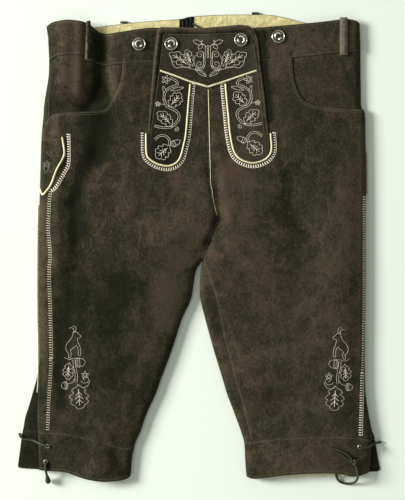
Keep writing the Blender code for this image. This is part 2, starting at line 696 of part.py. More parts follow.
def flap_regions(plan):
    p = plan.middles
    outer, inner = inside(FLAP_OUTER_LINE, p), inside(FLAP_INNER_LINE, p)
    over_bib_edge = above(BIB_LINE, p)
    regions = {"flap_border": outer & ~inner, "flap_bib": inner & over_bib_edge}
    flap_end_y = FLAP_INNER[0][1]
    for side, line in TONGUE_LINES.items():
        edge = tongue_inner(side)
        below_flap = inside(edge, p) & (p[:, 1] < flap_end_y)
        own_side = edge[: len(edge) // 2]
        beyond = left_of(own_side, p) if side == "left" else ~left_of(own_side, p)
        half = p[:, 0] < BIB_EDGE[4][0] if side == "left" else p[:, 0] > BIB_EDGE[4][0]
        in_flap = inner & ~over_bib_edge & (p[:, 1] > flap_end_y) & beyond & half
        regions[f"tongue_{side}"] = below_flap | in_flap
    return regions


def make_front(plan):
    top = relief(plan.xy)
    regions = base_regions(plan)
    margins = facing_margins(plan, regions)
    for name, chosen in regions.items():
        wall = BAND_WALL if name.startswith(("band", "cuff")) else WALL
        if name.startswith("hip"):
            side = name.split("_")[1]
            sink = fold_height(plan.xy, [POCKET_SINK]) if side == "left" else 0.0
            hidden = np.maximum(under(plan.xy, WALL) - GAP, BACK_TOP + HIP_LIP)
            face = np.minimum(top - LAYER, hidden) + sink
            inner = np.maximum(np.minimum(under(plan.xy, WALL) - LAYER, face - WALL), BACK_TOP)
            sheet_from(name, plan.xy, plan.triangles[chosen | margins[side]], face, inner, "suede")
            continue
        sheet_from(name, plan.xy, plan.triangles[chosen], top, under(plan.xy, wall), "suede")
    for name, chosen in flap_regions(plan).items():
        finish = "suede" if name == "flap_border" else "flap_suede"
        sheet_from(name, plan.xy, plan.triangles[chosen], top + LAYER, top + GAP, finish)
    p = plan.middles
    pocket = inside(knife_outline(), p)
    sheet_from("knife_pocket", plan.xy, plan.triangles[pocket], top + LAYER, top + GAP, "suede")
    for side in FRONT_LOOPS:
        chosen = inside(loop_outline(side), p)
        sheet_from(
            f"loop_front_{side}", plan.xy, plan.triangles[chosen], top + GAP + BAND_WALL, top + GAP, "suede"
        )
    for name, line in PIPED.items():
        chosen = inside(strip_outline(line, PIPING_WIDTH), p)
        low = top + (LAYER if name == "piping_bib" else 0.0) + GAP
        sheet_from(name, plan.xy, plan.triangles[chosen], low + PIPING_RISE, low, "piping")
    return top


# The back, which lies flat on the table

def make_back():
    slit = {"left": smooth_line(SLIT_LEFT, OUTLINE_STEP), "right": smooth_line(SLIT_RIGHT, OUTLINE_STEP)}
    outer, inner = {"left": OUTER_LEFT, "right": OUTER_RIGHT}, {"left": INNER_LEFT, "right": INNER_RIGHT}
    cuff = {"left": CUFF_LEFT_LINE, "right": CUFF_RIGHT_LINE}
    hem = {"left": HEM_LEFT_LINE, "right": HEM_RIGHT_LINE}
    centre = stretch(CENTRE_LINE, 1, *BACK_CENTRE_Y)
    middle = CENTRE_SEAM[1][0]
    for side in ("left", "right"):
        seam = stretch(cuff[side], 0, *BACK_CUFF_X[side])
        sides_of_leg = [
            stretch(outer[side], 1, *BACK_OUTER_Y[side]), stretch(slit[side], 1, *BACK_SLIT_Y[side]),
            stretch(inner[side], 1, *BACK_INNER_Y[side]),
        ]
        sides_of_cuff = [
            stretch(slit[side], 1, *CUFF_SLIT_Y[side]), stretch(inner[side], 1, *CUFF_INNER_Y[side]),
        ]
        lower = stretch(hem[side], 0, *CUFF_HEM_X[side]) + (0, CUFF_HEM_RISE)
        if side == "left":
            waist = stretch(WAIST_SEAM_LINE, 0, BACK_WAIST_X[0], middle)
            leg = [waist, centre[::-1][1:-1], sides_of_leg[2][::-1], seam[::-1][1:-1],
                   sides_of_leg[1], sides_of_leg[0][:-1]]
            cuff_back = [seam, sides_of_cuff[1][::-1], lower[::-1], sides_of_cuff[0]]
        else:
            waist = stretch(WAIST_SEAM_LINE, 0, middle, BACK_WAIST_X[1])
            leg = [waist, sides_of_leg[0][::-1][1:], sides_of_leg[1][::-1], seam[::-1][1:-1],
                   sides_of_leg[2], centre[1:-1]]
            cuff_back = [seam, sides_of_cuff[0][::-1], lower[::-1], sides_of_cuff[1]]
        plate(f"back_{side}", np.vstack(leg), 0.0, WALL, "suede")
        plate(f"cuff_back_{side}", np.vstack(cuff_back), 0.0, WALL, "suede")
    x1, x2 = HEM_LINING_X
    y1, y2 = HEM_LINING_Y
    strip = [(x1, y1), (x2, y1 + 0.4), (x2, y2), (x1, y2)]
    plate("cuff_lining_right", strip, BACK_TOP, BACK_TOP + LINING, "lining")


def make_back_band():
    top = smooth_line(BACK_BAND_TOP, OUTLINE_STEP)
    foot_middle = (GUSSET_FOOT[0] + GUSSET_FOOT[1]) / 2
    seam_left = stretch(WAIST_SEAM_LINE, 0, BACK_WAIST_X[0], foot_middle)
    seam_right = stretch(WAIST_SEAM_LINE, 0, foot_middle, BACK_WAIST_X[1])
    left_top = stretch(top, 0, BAND_BACK_TOP_X[0], GUSSET_TOP[0])
    right_top = stretch(top, 0, GUSSET_TOP[1], BAND_BACK_TOP_X[1])
    plate("band_back_left", np.vstack([
        seam_left, [(GUSSET_FOOT[0], GUSSET_FOOT_Y)], left_top[::-1],
    ]), 0.0, WALL, "suede")
    plate("band_back_right", np.vstack([
        seam_right, right_top[::-1], [(GUSSET_FOOT[1], GUSSET_FOOT_Y)],
    ]), 0.0, WALL, "suede")
    for side, edge, line in (("left", -1.0, left_top), ("right", 1.0, right_top)):
        shown = line[np.abs(line[:, 0]) < LINING_REACH] - (0, LINING_SET_BACK)
        outline = np.vstack([shown, (shown - (0, LINING_DEPTH))[::-1]])
        outline[:, 0] += edge * LINING_CLEAR * (np.abs(outline[:, 0]) < LINING_REACH / 3)
        plate(f"lining_{side}", outline, BACK_TOP, BACK_TOP + LINING, "lining")
    make_gusset(top)
    for side, (x1, x2, y1, y2) in BACK_LOOP_TIPS.items():
        tip = [(x1, y1), (x2, y1), (x2, y2), (x1, y2)]
        plate(f"loop_back_{side}", tip, 0.0, LOOP_TIP_HEIGHT, "suede")


def make_gusset(band_top):
    """The gathered leather between the two halves of the back band."""
    columns = 4 * GUSSET_RIBS
    plan = Plan()
    sides = []
    for share in np.linspace(0.0, 1.0, columns + 1):
        x_top = GUSSET_TOP[0] + share * (GUSSET_TOP[1] - GUSSET_TOP[0])
        x_foot = GUSSET_FOOT[0] + share * (GUSSET_FOOT[1] - GUSSET_FOOT[0])
        y_top = np.interp(x_top, band_top[:, 0], band_top[:, 1])
        sides.append([(x_foot, GUSSET_FOOT_Y), (x_top, y_top)])
        plan.add_line(sides[-1])
    plan.add_line([s[0] for s in sides])
    plan.add_line([s[1] for s in sides])
    plan.triangulate()
    outline = np.array([sides[0][0], sides[-1][0]] + [s[1] for s in sides[::-1]])
    chosen = plan.triangles[inside(outline, plan.middles)]
    reach = (plan.xy[:, 1] - GUSSET_FOOT_Y) / (band_top[:, 1].max() - GUSSET_FOOT_Y)
    left = GUSSET_FOOT[0] + reach * (GUSSET_TOP[0] - GUSSET_FOOT[0])
    right = GUSSET_FOOT[1] + reach * (GUSSET_TOP[1] - GUSSET_FOOT[1])
    share = (plan.xy[:, 0] - left) / np.maximum(right - left, 1e-6)
    ribs = WALL + GUSSET_RIB_RISE * (0.5 - 0.5 * np.cos(2 * math.pi * GUSSET_RIBS * share))
    sheet_from("gusset_back", plan.xy, chosen, ribs, np.zeros(len(ribs)), "gusset")


# Buttons, eyelets and laces

def turned(name, profile, segments, place, up, finish):
    """A shape turned from a profile of radius and height, closed on its axis or as a ring."""
    tilt = Vector((0, 0, 1)).rotation_difference(Vector(up)).to_matrix()
    points, faces = [], []
    ring = profile[0][0] > 0 and profile[0] == profile[-1]
    rows = profile[:-1] if ring else profile
    spots = []
    for radius, height in rows:
        if radius == 0:
            spots.append([len(points)] * segments)
            points.append(Vector(place) + tilt @ Vector((0, 0, height)))
            continue
        spots.append([len(points) + k for k in range(segments)])
        for k in range(segments):
            turn = 2 * math.pi * k / segments
            points.append(
                Vector(place) + tilt @ Vector((radius * math.cos(turn), radius * math.sin(turn), height))
            )
    pairs = list(zip(spots, spots[1:])) + ([(spots[-1], spots[0])] if ring else [])
    for low, high in pairs:
        for k in range(segments):
            n = (k + 1) % segments
            face = [low[k], low[n], high[n], high[k]]
            faces.append([v for i, v in enumerate(face) if v not in face[:i]])
    return add_object(name, points, faces, finish)


BUTTON_PROFILE = [
    (0.0, 0.0), (7.4, 0.0), (9.6, 0.9), (BUTTON_RADIUS, 2.4), (11.0, 3.9), (9.6, 4.9), (8.2, 4.5),
    (7.6, 3.7), (4.2, 4.4), (0.0, 4.8),
]
EYELET_PROFILE = [
    (EYELET_HOLE, 0.0), (EYELET_RADIUS, 0.0), (EYELET_RADIUS, EYELET_HEIGHT / 2),
    ((EYELET_RADIUS + EYELET_HOLE) / 2, EYELET_HEIGHT), (EYELET_HOLE, EYELET_HEIGHT / 2), (EYELET_HOLE, 0.0),
]


def seat_round(plan, top, x, y, radius, lift):
    """The place and tilt of a round piece that rests on the cloth's facets at its highest points."""
    turn = np.linspace(0, 2 * math.pi, 24, endpoint=False)
    rims = [np.array([[x, y]])]
    rims += [np.column_stack([x + r * np.cos(turn), y + r * np.sin(turn)]) for r in (radius, 0.6 * radius)]
    spots = np.vstack(rims)
    heights = facets_at(plan, top, spots)
    fit = np.linalg.lstsq(np.column_stack([spots, np.ones(len(spots))]), heights, rcond=None)[0]
    plane = np.column_stack([spots, np.ones(len(spots))]) @ fit
    rise = (heights - plane).max()
    up = Vector((-fit[0], -fit[1], 1.0)).normalized()
    return (x, y, fit[0] * x + fit[1] * y + fit[2] + rise + lift), up


def make_fastenings(plan, top):
    for number, (x, y, on_flap) in enumerate(BUTTONS, 1):
        lift = GAP + (LAYER if on_flap else 0.0)
        place, up = seat_round(plan, top, x, y, BUTTON_RADIUS, lift + SEAT_CLEARANCE)
        turned(f"button_{number}", BUTTON_PROFILE, BUTTON_SEGMENTS, place, up, "button")
    for name, (x, y) in EYELETS.items():
        place, up = seat_round(plan, top, x, y, EYELET_RADIUS, GAP)
        turned(f"eyelet_{name}", EYELET_PROFILE, EYELET_SEGMENTS, place, up, "eyelet")


def tube(name, points, radius, resolution, finish, step):
    """A round cord through its route's points, as a curve with a bevel and filled caps."""
    line = smooth_line(points, step)
    data = bpy.data.curves.new(name, "CURVE")
    data.dimensions = "3D"
    data.bevel_depth = radius * MM
    data.bevel_resolution = resolution
    data.use_fill_caps = True
    spline = data.splines.new("POLY")
    spline.points.add(len(line) - 1)
    for spot, point in zip(spline.points, line):
        spot.co = (*(Vector(point) * MM), 1.0)
    data.materials.append(material(finish))
    thing = bpy.data.objects.new(name, data)
    bpy.context.scene.collection.objects.link(thing)
    return thing


def make_laces():
    for name, points in LACES.items():
        radius = BACK_LACE_RADIUS if name == "lace_back" else LACE_RADIUS
        tube(name, points, radius, 2, "lace", LACE_STEP)
    start, stop = Vector(LACE_END["start"]), Vector(LACE_END["stop"])
    length, thick = (stop - start).length, LACE_END["radius"]
    profile = [
        (0.0, 0.0), (0.42 * thick, 0.02 * length), (0.62 * thick, 0.2 * length),
        (0.9 * thick, 0.48 * length), (thick, 0.72 * length), (0.7 * thick, 0.94 * length), (0.0, length),
    ]
    turned("lace_left_end", profile, 12, start, stop - start, "lace")
    steps = 8
    profile = [
        (math.sin(math.pi * k / steps), -math.cos(math.pi * k / steps)) for k in range(steps + 1)
    ]
    profile[0], profile[-1] = (0.0, -1.0), (0.0, 1.0)
    knot = turned("lace_right_knot", profile, 14, (0, 0, 0), (0, 0, 1), "lace")
    for vertex in knot.data.vertices:
        local = [vertex.co[k] / MM * KNOT_HALF[k] + KNOT_CENTRE[k] for k in range(3)]
        vertex.co = Vector(local) * MM


def make_side_piping():
    reach = SIDE_PIPING_RADIUS + GAP
    for side, line, way, low, high in (
        ("left", OUTER_LEFT, -1, *SIDE_PIPING_LEFT_Y), ("right", OUTER_RIGHT, 1, *SIDE_PIPING_RIGHT_Y)
    ):
        path = stretch(line, 1, low, high) + (way * reach, 0)
        route = np.column_stack([path, np.full(len(path), BACK_TOP + SIDE_PIPING_RADIUS)])
        tube(f"piping_side_{side}", route, SIDE_PIPING_RADIUS, 1, "piping", 20.0)


def main():
    clear_scene()
    plan = front_plan()
    top = make_front(plan)
    make_back()
    make_back_band()
    make_fastenings(plan, top)
    make_side_piping()
    make_laces()


main()
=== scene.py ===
# %% [markdown]
# # Knee breeches laid flat
# These are knee breeches of dark brown suede, the kind worn with folk dress. They lie on a table
# with the front up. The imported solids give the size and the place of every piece. This script
# makes the fine cloth over them, then the piping, the thread work, the buttons and the laces.
# All lengths in the tables are millimetres, and they are turned into metres when a mesh is made.

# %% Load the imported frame
import json
import math
from collections import defaultdict, namedtuple

import bpy
import numpy as np
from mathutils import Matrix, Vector, kdtree, noise
from mathutils.bvhtree import BVHTree
from mathutils.geometry import delaunay_2d_cdt

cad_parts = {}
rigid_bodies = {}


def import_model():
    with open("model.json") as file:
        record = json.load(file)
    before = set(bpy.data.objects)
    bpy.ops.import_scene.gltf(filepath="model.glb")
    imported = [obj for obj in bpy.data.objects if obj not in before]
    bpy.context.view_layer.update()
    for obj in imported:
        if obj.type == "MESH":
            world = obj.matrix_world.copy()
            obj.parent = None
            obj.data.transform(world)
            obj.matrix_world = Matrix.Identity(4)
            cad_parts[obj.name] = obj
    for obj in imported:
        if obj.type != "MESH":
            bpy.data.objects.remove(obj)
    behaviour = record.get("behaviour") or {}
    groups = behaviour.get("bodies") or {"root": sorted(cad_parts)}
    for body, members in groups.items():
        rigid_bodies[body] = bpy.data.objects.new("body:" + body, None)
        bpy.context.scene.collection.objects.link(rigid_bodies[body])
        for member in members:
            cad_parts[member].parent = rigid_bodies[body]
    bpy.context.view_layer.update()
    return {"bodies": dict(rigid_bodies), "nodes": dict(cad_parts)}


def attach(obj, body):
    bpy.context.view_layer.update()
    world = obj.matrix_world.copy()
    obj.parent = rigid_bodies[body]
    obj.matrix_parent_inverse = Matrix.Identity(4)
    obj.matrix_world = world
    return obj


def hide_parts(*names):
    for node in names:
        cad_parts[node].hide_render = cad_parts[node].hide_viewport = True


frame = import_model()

MM = 0.001
print("bodies", list(frame["bodies"]), "and", len(frame["nodes"]), "solids")

# %% [markdown]
# ## The camera
# The garment is seen from straight above. A long lens a good way up keeps the raised parts from
# leaning outwards. The frame is 850 mm of table high, taken a little above the table, where most
# of the cloth is.

# %% Camera above the table
VIEW_LENGTH = 0.850
CAMERA_HEIGHT = 2.3
CLOTH_HEIGHT = 0.010
VIEW_CENTRE = (0.006, -0.006)

lens = bpy.data.cameras.new("camera")
lens.sensor_width = 36.0
lens.lens = lens.sensor_width * (CAMERA_HEIGHT - CLOTH_HEIGHT) / VIEW_LENGTH
camera = bpy.data.objects.new("camera", lens)
camera.location = (*VIEW_CENTRE, CAMERA_HEIGHT)
bpy.context.scene.collection.objects.link(camera)
bpy.context.scene.camera = camera
print("lens", round(lens.lens, 1), "mm")

# %% [markdown]
# ## Finishes
# Suede is leather with the flesh side out. Its nap lies in soft light and dark patches, and it has hardly
# any gloss. Noise at four sizes gives the patches, the cloudy hide, its flecks and the nap, and thin creases
# run over it. A per-point value lightens the edges and seams, where the suede is rubbed. The same value also
# carries painted light and shade: painted highlights on ridges and lit slopes, painted shade in dips,
# valleys and the pocket's gape, and a painted shadow beside the flap. Dark suede looks greener and rubbed
# suede redder, so the tint changes from place to place. Every pattern reads object coordinates, so it stays
# on the piece from any side.

# %% Small helpers for node trees
def add_node(tree, kind, inputs=None, **settings):
    made = tree.nodes.new(kind)
    for key, value in settings.items():
        setattr(made, key, value)
    for key, value in (inputs or {}).items():
        socket = made.inputs[key]
        if isinstance(value, bpy.types.NodeSocket):
            tree.links.new(value, socket)
        else:
            socket.default_value = value
    return made


def noise_at(tree, place, scale, detail=4.0, roughness=0.6, stretch=(1.0, 1.0, 1.0)):
    """A noise pattern of so many waves per metre, stretched along some axes."""
    mapped = add_node(tree, "ShaderNodeMapping", {"Vector": place, "Scale": stretch})
    return add_node(
        tree, "ShaderNodeTexNoise",
        {"Vector": mapped.outputs[0], "Scale": scale, "Detail": detail, "Roughness": roughness},
    ).outputs[0]


def ramp(tree, value, stops):
    made = add_node(tree, "ShaderNodeValToRGB", {"Fac": value})
    while len(made.color_ramp.elements) < len(stops):
        made.color_ramp.elements.new(0.5)
    for element, (place, colour) in zip(made.color_ramp.elements, stops):
        element.position, element.color = place, (*colour, 1.0)
    return made.outputs[0]


def mix_colour(tree, share, first, second, mode="MIX"):
    made = add_node(tree, "ShaderNodeMix", data_type="RGBA", blend_type=mode)
    for socket, value in ((made.inputs[0], share), (made.inputs[6], first), (made.inputs[7], second)):
        if isinstance(value, bpy.types.NodeSocket):
            tree.links.new(value, socket)
        else:
            socket.default_value = value
    return made.outputs[2]


def calculate(tree, operation, first, second=0.0):
    return add_node(tree, "ShaderNodeMath", {0: first, 1: second}, operation=operation).outputs[0]


def weighed(tree, *parts):
    """The sum of some values, each times its weight."""
    total = 0.0
    for value, weight in parts:
        total = calculate(tree, "ADD", total, calculate(tree, "MULTIPLY", value, weight))
    return total


def bump(tree, height, strength, distance, under=None):
    given = {"Height": height, "Strength": strength, "Distance": distance}
    if under is not None:
        given["Normal"] = under
    return add_node(tree, "ShaderNodeBump", given).outputs[0]


finishes = []


def new_finish(name, roughness, **constants):
    """A material with its Principled shader. constants go straight on the shader's sockets."""
    finishes.append(name)
    made = bpy.data.materials.new(name)
    made.use_nodes = True
    tree = made.node_tree
    shader = tree.nodes["Principled BSDF"]
    shader.inputs["Roughness"].default_value = roughness
    for key, value in constants.items():
        shader.inputs[key.replace("_", " ")].default_value = value
    place = add_node(tree, "ShaderNodeTexCoord").outputs["Object"]
    return made, tree, shader, place


# %% Suede
CREASE_SHARPNESS = 26.0
COOL_TINT, WARM_TINT = (0.93, 1.02, 0.92), (1.12, 0.98, 1.0)
NAP_DARK, NAP_LIGHT = (0.66, 0.66, 0.66), (1.32, 1.32, 1.32)


def creases(tree, place):
    """Thin lines where slow waves pass their middle value, as on a hide that has been worn."""
    waves = noise_at(tree, place, 17.0, 4.0, 0.62, (1.0, 0.55, 1.0))
    away = calculate(tree, "ABSOLUTE", calculate(tree, "SUBTRACT", waves, 0.5))
    fall = calculate(tree, "MULTIPLY", away, CREASE_SHARPNESS)
    return calculate(tree, "MAXIMUM", calculate(tree, "SUBTRACT", 1.0, fall), 0.0)


def suede(name, deep, middle, light):
    made, tree, shader, place = new_finish(
        name, 0.93, Sheen_Weight=0.12, Sheen_Roughness=0.5, Sheen_Tint=(0.75, 0.68, 0.50, 1.0),
        Specular_IOR_Level=0.12,
    )
    patches = noise_at(tree, place, 7.0, 3.0, 0.55)
    clouds = noise_at(tree, place, 46.0, 5.0, 0.7)
    flecks = noise_at(tree, place, 330.0, 2.0, 0.6, (1.0, 0.62, 1.0))
    nap = noise_at(tree, place, 700.0, 3.0, 0.7, (1.0, 0.45, 1.0))
    creased = calculate(tree, "MULTIPLY", creases(tree, place), patches)
    # The per-point value: rub at edges and seams, with painted light and shade from the folds and from the
    # table of light and dark places.
    wear_and_shade = add_node(tree, "ShaderNodeAttribute", attribute_name="wear_and_shade").outputs["Fac"]
    tone = weighed(tree, (patches, 0.26), (clouds, 0.38), (flecks, 0.36), (creased, 0.13), (wear_and_shade, 0.12))
    colour = ramp(tree, tone, [(0.38, deep), (0.5, middle), (0.64, light)])
    tint = ramp(tree, noise_at(tree, place, 24.0, 4.0, 0.62), [(0.36, COOL_TINT), (0.64, WARM_TINT)])
    colour = mix_colour(tree, 1.0, colour, tint, "MULTIPLY")
    grain = ramp(tree, nap, [(0.3, NAP_DARK), (0.7, NAP_LIGHT)])
    colour = mix_colour(tree, 1.0, colour, grain, "MULTIPLY")
    tree.links.new(colour, shader.inputs["Base Color"])
    fine = bump(tree, nap, 0.6, 0.0005)
    tree.links.new(bump(tree, clouds, 0.6, 0.0022, fine), shader.inputs["Normal"])
    return made


SUEDE = suede("suede_brown", (0.0066, 0.0078, 0.0029), (0.0230, 0.0212, 0.0108), (0.0560, 0.0440, 0.0275))
BIB_SUEDE = suede("suede_bib", (0.0097, 0.0092, 0.0050), (0.0232, 0.0204, 0.0118), (0.043, 0.037, 0.0240))
LEFT_SUEDE = suede(
    "suede_tongue", (0.0048, 0.0052, 0.0022), (0.0124, 0.0116, 0.0058), (0.026, 0.0225, 0.0130)
)
LOOP_SUEDE = suede("suede_loop", (0.038, 0.034, 0.025), (0.082, 0.072, 0.054), (0.130, 0.112, 0.085))
DULL_LOOP_SUEDE = suede(
    "suede_loop_dull", (0.010, 0.010, 0.005), (0.046, 0.045, 0.028), (0.095, 0.092, 0.062)
)
# A darker copy of the suede for the back's panels and cuffs: painted shade for their low place beside the
# raised front.
SHADED_BACK_SUEDE = suede("suede_back_shaded", (0.0040, 0.0048, 0.0020), (0.0090, 0.0100, 0.0046), (0.022, 0.021, 0.011))
# Dark thin leather for the gusset. It is used also for the dark discs in the eyelets, which are painted
# shade for their holes.
DARK_LEATHER_AND_HOLE_SHADE = suede("suede_dark_and_hole_shade", (0.005, 0.006, 0.0035), (0.011, 0.013, 0.008), (0.025, 0.025, 0.016))
print("suede in", len(finishes), "shades, each of", len(SUEDE.node_tree.nodes), "nodes")

# %% Piping, lining, thread, lace
def smooth_leather(name, dark, light, roughness, grain=420.0, depth=0.0003):
    made, tree, shader, place = new_finish(name, roughness, Specular_IOR_Level=0.35)
    spots = noise_at(tree, place, 60.0, 4.0)
    fine = noise_at(tree, place, grain, 4.0)
    colour = ramp(tree, weighed(tree, (spots, 0.6), (fine, 0.4)), [(0.34, dark), (0.66, light)])
    tree.links.new(colour, shader.inputs["Base Color"])
    tree.links.new(bump(tree, fine, 0.5, depth), shader.inputs["Normal"])
    return made


def woven(name, dark, light, threads=1100.0):
    """Plain weave: two sets of waves, one for each direction of the threads."""
    made, tree, shader, place = new_finish(name, 0.85, Sheen_Weight=0.1, Specular_IOR_Level=0.2)
    warp, weft = [
        add_node(
            tree, "ShaderNodeTexWave",
            {"Vector": place, "Scale": threads / 6.283, "Distortion": 0.8, "Detail": 1.0},
            bands_direction=way,
        ).outputs["Fac"]
        for way in ("X", "Y")
    ]
    weave = weighed(tree, (warp, 0.5), (weft, 0.5))
    cloud = noise_at(tree, place, 70.0, 4.0, 0.65, (1.0, 1.6, 1.0))
    slub = noise_at(tree, place, 300.0, 2.0, 0.5, (1.0, 0.15, 1.0))
    tone = weighed(tree, (cloud, 0.5), (slub, 0.3), (weave, 0.2))
    tree.links.new(ramp(tree, tone, [(0.34, dark), (0.66, light)]), shader.inputs["Base Color"])
    fine = bump(tree, weave, 0.6, 0.0003)
    tree.links.new(bump(tree, cloud, 0.7, 0.0035, fine), shader.inputs["Normal"])
    return made


def spun(name, dark, light):
    """Twisted thread: fine slanting streaks along it."""
    made, tree, shader, place = new_finish(name, 0.6, Sheen_Weight=0.15, Specular_IOR_Level=0.3)
    streaks = noise_at(tree, place, 1500.0, 2.0, 0.5, (1.0, 0.4, 1.0))
    tree.links.new(ramp(tree, streaks, [(0.3, dark), (0.7, light)]), shader.inputs["Base Color"])
    return made


PIPING = smooth_leather("piping_cream", (0.55, 0.50, 0.26), (0.82, 0.78, 0.53), 0.55)
SIDE_PIPING = smooth_leather("piping_side", (0.30, 0.28, 0.15), (0.55, 0.52, 0.33), 0.6)
LINING = woven("lining_cloth", (0.46, 0.39, 0.15), (0.84, 0.78, 0.42))
# A lighter copy of the lining cloth for the strip under the right hem: painted light against the shade that
# the hem casts on it.
LIGHTENED_LINING = woven("lining_lightened", (0.80, 0.74, 0.42), (0.96, 0.93, 0.66))
LACE = smooth_leather("lace_leather", (0.015, 0.018, 0.009), (0.040, 0.045, 0.026), 0.62, 700.0, 0.0004)
THREAD = spun("thread_pale", (0.60, 0.54, 0.41), (0.92, 0.86, 0.70))
SCROLL_THREAD = spun("thread_scroll", (0.14, 0.13, 0.09), (0.30, 0.28, 0.21))
SEAM_THREAD = spun("thread_seam", (0.085, 0.080, 0.054), (0.180, 0.168, 0.120))
print("with piping, cloth and thread:", len(finishes), "finishes")

# %% Metal and horn
def worn_metal(name, dark, light, roughness, scale):
    made, tree, shader, place = new_finish(name, roughness, Metallic=1.0)
    tarnish = noise_at(tree, place, scale, 4.0, 0.6)
    tree.links.new(ramp(tree, tarnish, [(0.34, dark), (0.50, light)]), shader.inputs["Base Color"])
    given = {"Value": tarnish, "To Min": roughness + 0.14, "To Max": roughness - 0.08}
    rough = add_node(tree, "ShaderNodeMapRange", given).outputs[0]
    tree.links.new(rough, shader.inputs["Roughness"])
    return made


SILVER = worn_metal("old_silver", (0.24, 0.21, 0.15), (0.95, 0.93, 0.85), 0.32, 170.0)
RIM_SILVER = worn_metal("old_silver_rim", (0.09, 0.075, 0.042), (0.64, 0.60, 0.47), 0.28, 150.0)
# Dark tarnished silver for the buttons' dishes. It is used also on the lower right eyelet, as a painted
# shadow of the knot beside it.
TARNISH_AND_SHADOW = worn_metal("dark_silver", (0.05, 0.04, 0.022), (0.17, 0.14, 0.09), 0.4, 160.0)
EYELET_METAL = worn_metal("eyelet_metal", (0.16, 0.16, 0.13), (0.52, 0.51, 0.44), 0.34, 350.0)
HORN = smooth_leather("dark_horn", (0.012, 0.020, 0.012), (0.045, 0.055, 0.035), 0.2, 250.0, 0.0001)
print("with metal and horn:", len(finishes), "finishes")

# %% [markdown]
# ## Lines and places
# Every outline is a short table of points, joined by a Catmull-Rom curve, which passes through
# each of them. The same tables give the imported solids, so cloth and solid agree.

# %% Curves through points
def even_steps(points, step):
    """The line's points at even distances of about step, with both ends kept."""
    line = np.asarray(points, float)
    run = np.concatenate([[0.0], np.cumsum(np.linalg.norm(np.diff(line, axis=0), axis=1))])
    at = np.linspace(0.0, run[-1], max(1, round(run[-1] / step)) + 1)
    return np.column_stack([np.interp(at, run, line[:, k]) for k in range(line.shape[1])])


def smooth_line(points, step, fineness=12, closed=False):
    line = np.asarray(points, float)
    if closed:
        ends = np.vstack([line[-1], line, line[:2]])
    else:
        ends = np.vstack([2 * line[0] - line[1], line, 2 * line[-1] - line[-2]])
    curve = []
    for before, start, end, after in zip(ends, ends[1:], ends[2:], ends[3:]):
        for t in np.arange(fineness) / fineness:
            curve.append(
                0.5 * (2 * start + (end - before) * t
                       + (2 * before - 5 * start + 4 * end - after) * t**2
                       + (3 * start - before - 3 * end + after) * t**3)
            )
    curve.append(line[0] if closed else line[-1])
    return even_steps(curve, step)


def cross(first, second):
    return first[..., 0] * second[..., 1] - first[..., 1] * second[..., 0]


def normals(line):
    """Unit normals to the left of a line's direction."""
    along = np.gradient(line[:, :2], axis=0)
    along /= np.maximum(np.linalg.norm(along, axis=1)[:, None], 1e-9)
    return np.column_stack([-along[:, 1], along[:, 0]])


def offset(line, distance):
    return line[:, :2] + normals(line) * distance


def distance_to(line, points):
    """Distance from each point to the nearest place on an open line."""
    line = np.asarray(line, float)
    start, along = line[:-1], np.diff(line, axis=0)
    length2 = np.maximum((along**2).sum(1), 1e-9)
    found = []
    for some in np.array_split(np.asarray(points, float), max(1, len(points) // 4000)):
        away = some[:, None] - start[None]
        t = np.clip((away * along[None]).sum(2) / length2[None], 0.0, 1.0)
        found.append(np.linalg.norm(away - t[..., None] * along[None], axis=2).min(1))
    return np.concatenate(found)


def distance_to_outline(outline, points):
    """Distance from each point to the nearest place on a closed outline."""
    return distance_to(np.vstack([outline, outline[:1]]), points)


def nearness(distance, width):
    """1 where the distance is 0, falling away softly over about twice the width."""
    return np.exp(-((distance / width) ** 2))


def inside(polygon, points):
    """Which points lie inside a closed polygon, by counting the edges to their right."""
    x, y = points[:, 0], points[:, 1]
    found = np.zeros(len(points), bool)
    for (x1, y1), (x2, y2) in zip(polygon, np.roll(polygon, -1, axis=0)):
        if y1 == y2:
            continue
        crosses = (y1 > y) != (y2 > y)
        found ^= crosses & (x < (x2 - x1) * (y - y1) / (y2 - y1) + x1)
    return found


def above(line, points):
    order = np.argsort(line[:, 0])
    return points[:, 1] > np.interp(points[:, 0], line[order, 0], line[order, 1])


def left_of(line, points):
    order = np.argsort(line[:, 1])
    return points[:, 0] < np.interp(points[:, 1], line[order, 1], line[order, 0])


def stretch(line, axis, low, high):
    """The part of a line between two values of x (axis 0) or y (axis 1), with cut ends added."""
    line = line if line[0, axis] < line[-1, axis] else line[::-1]
    ends = [[np.interp(v, line[:, axis], line[:, k]) for k in (0, 1)] for v in (low, high)]
    kept = line[(line[:, axis] > low + 0.6) & (line[:, axis] < high - 0.6)]
    return np.vstack([ends[0], kept, ends[1]])


trial = smooth_line([(0, 0), (10, 8), (20, 0)], 2.0)
print("a trial curve through 3 points has", len(trial), "points at even steps")

# %% [markdown]
# ## The laces
# Each cuff is tied with a round leather lace. On the left cuff one stretch runs out of the upper
# eyelet and round behind the leg, and another hangs out of the lower eyelet over the hem and ends
# in a swollen knot. On the right cuff the lace is knotted beside the lower eyelet: two short ends
# lie on the cuff, and a loop hangs over the hem and goes back under it. A lace is a curve with a
# round bevel, which keeps its thickness everywhere.

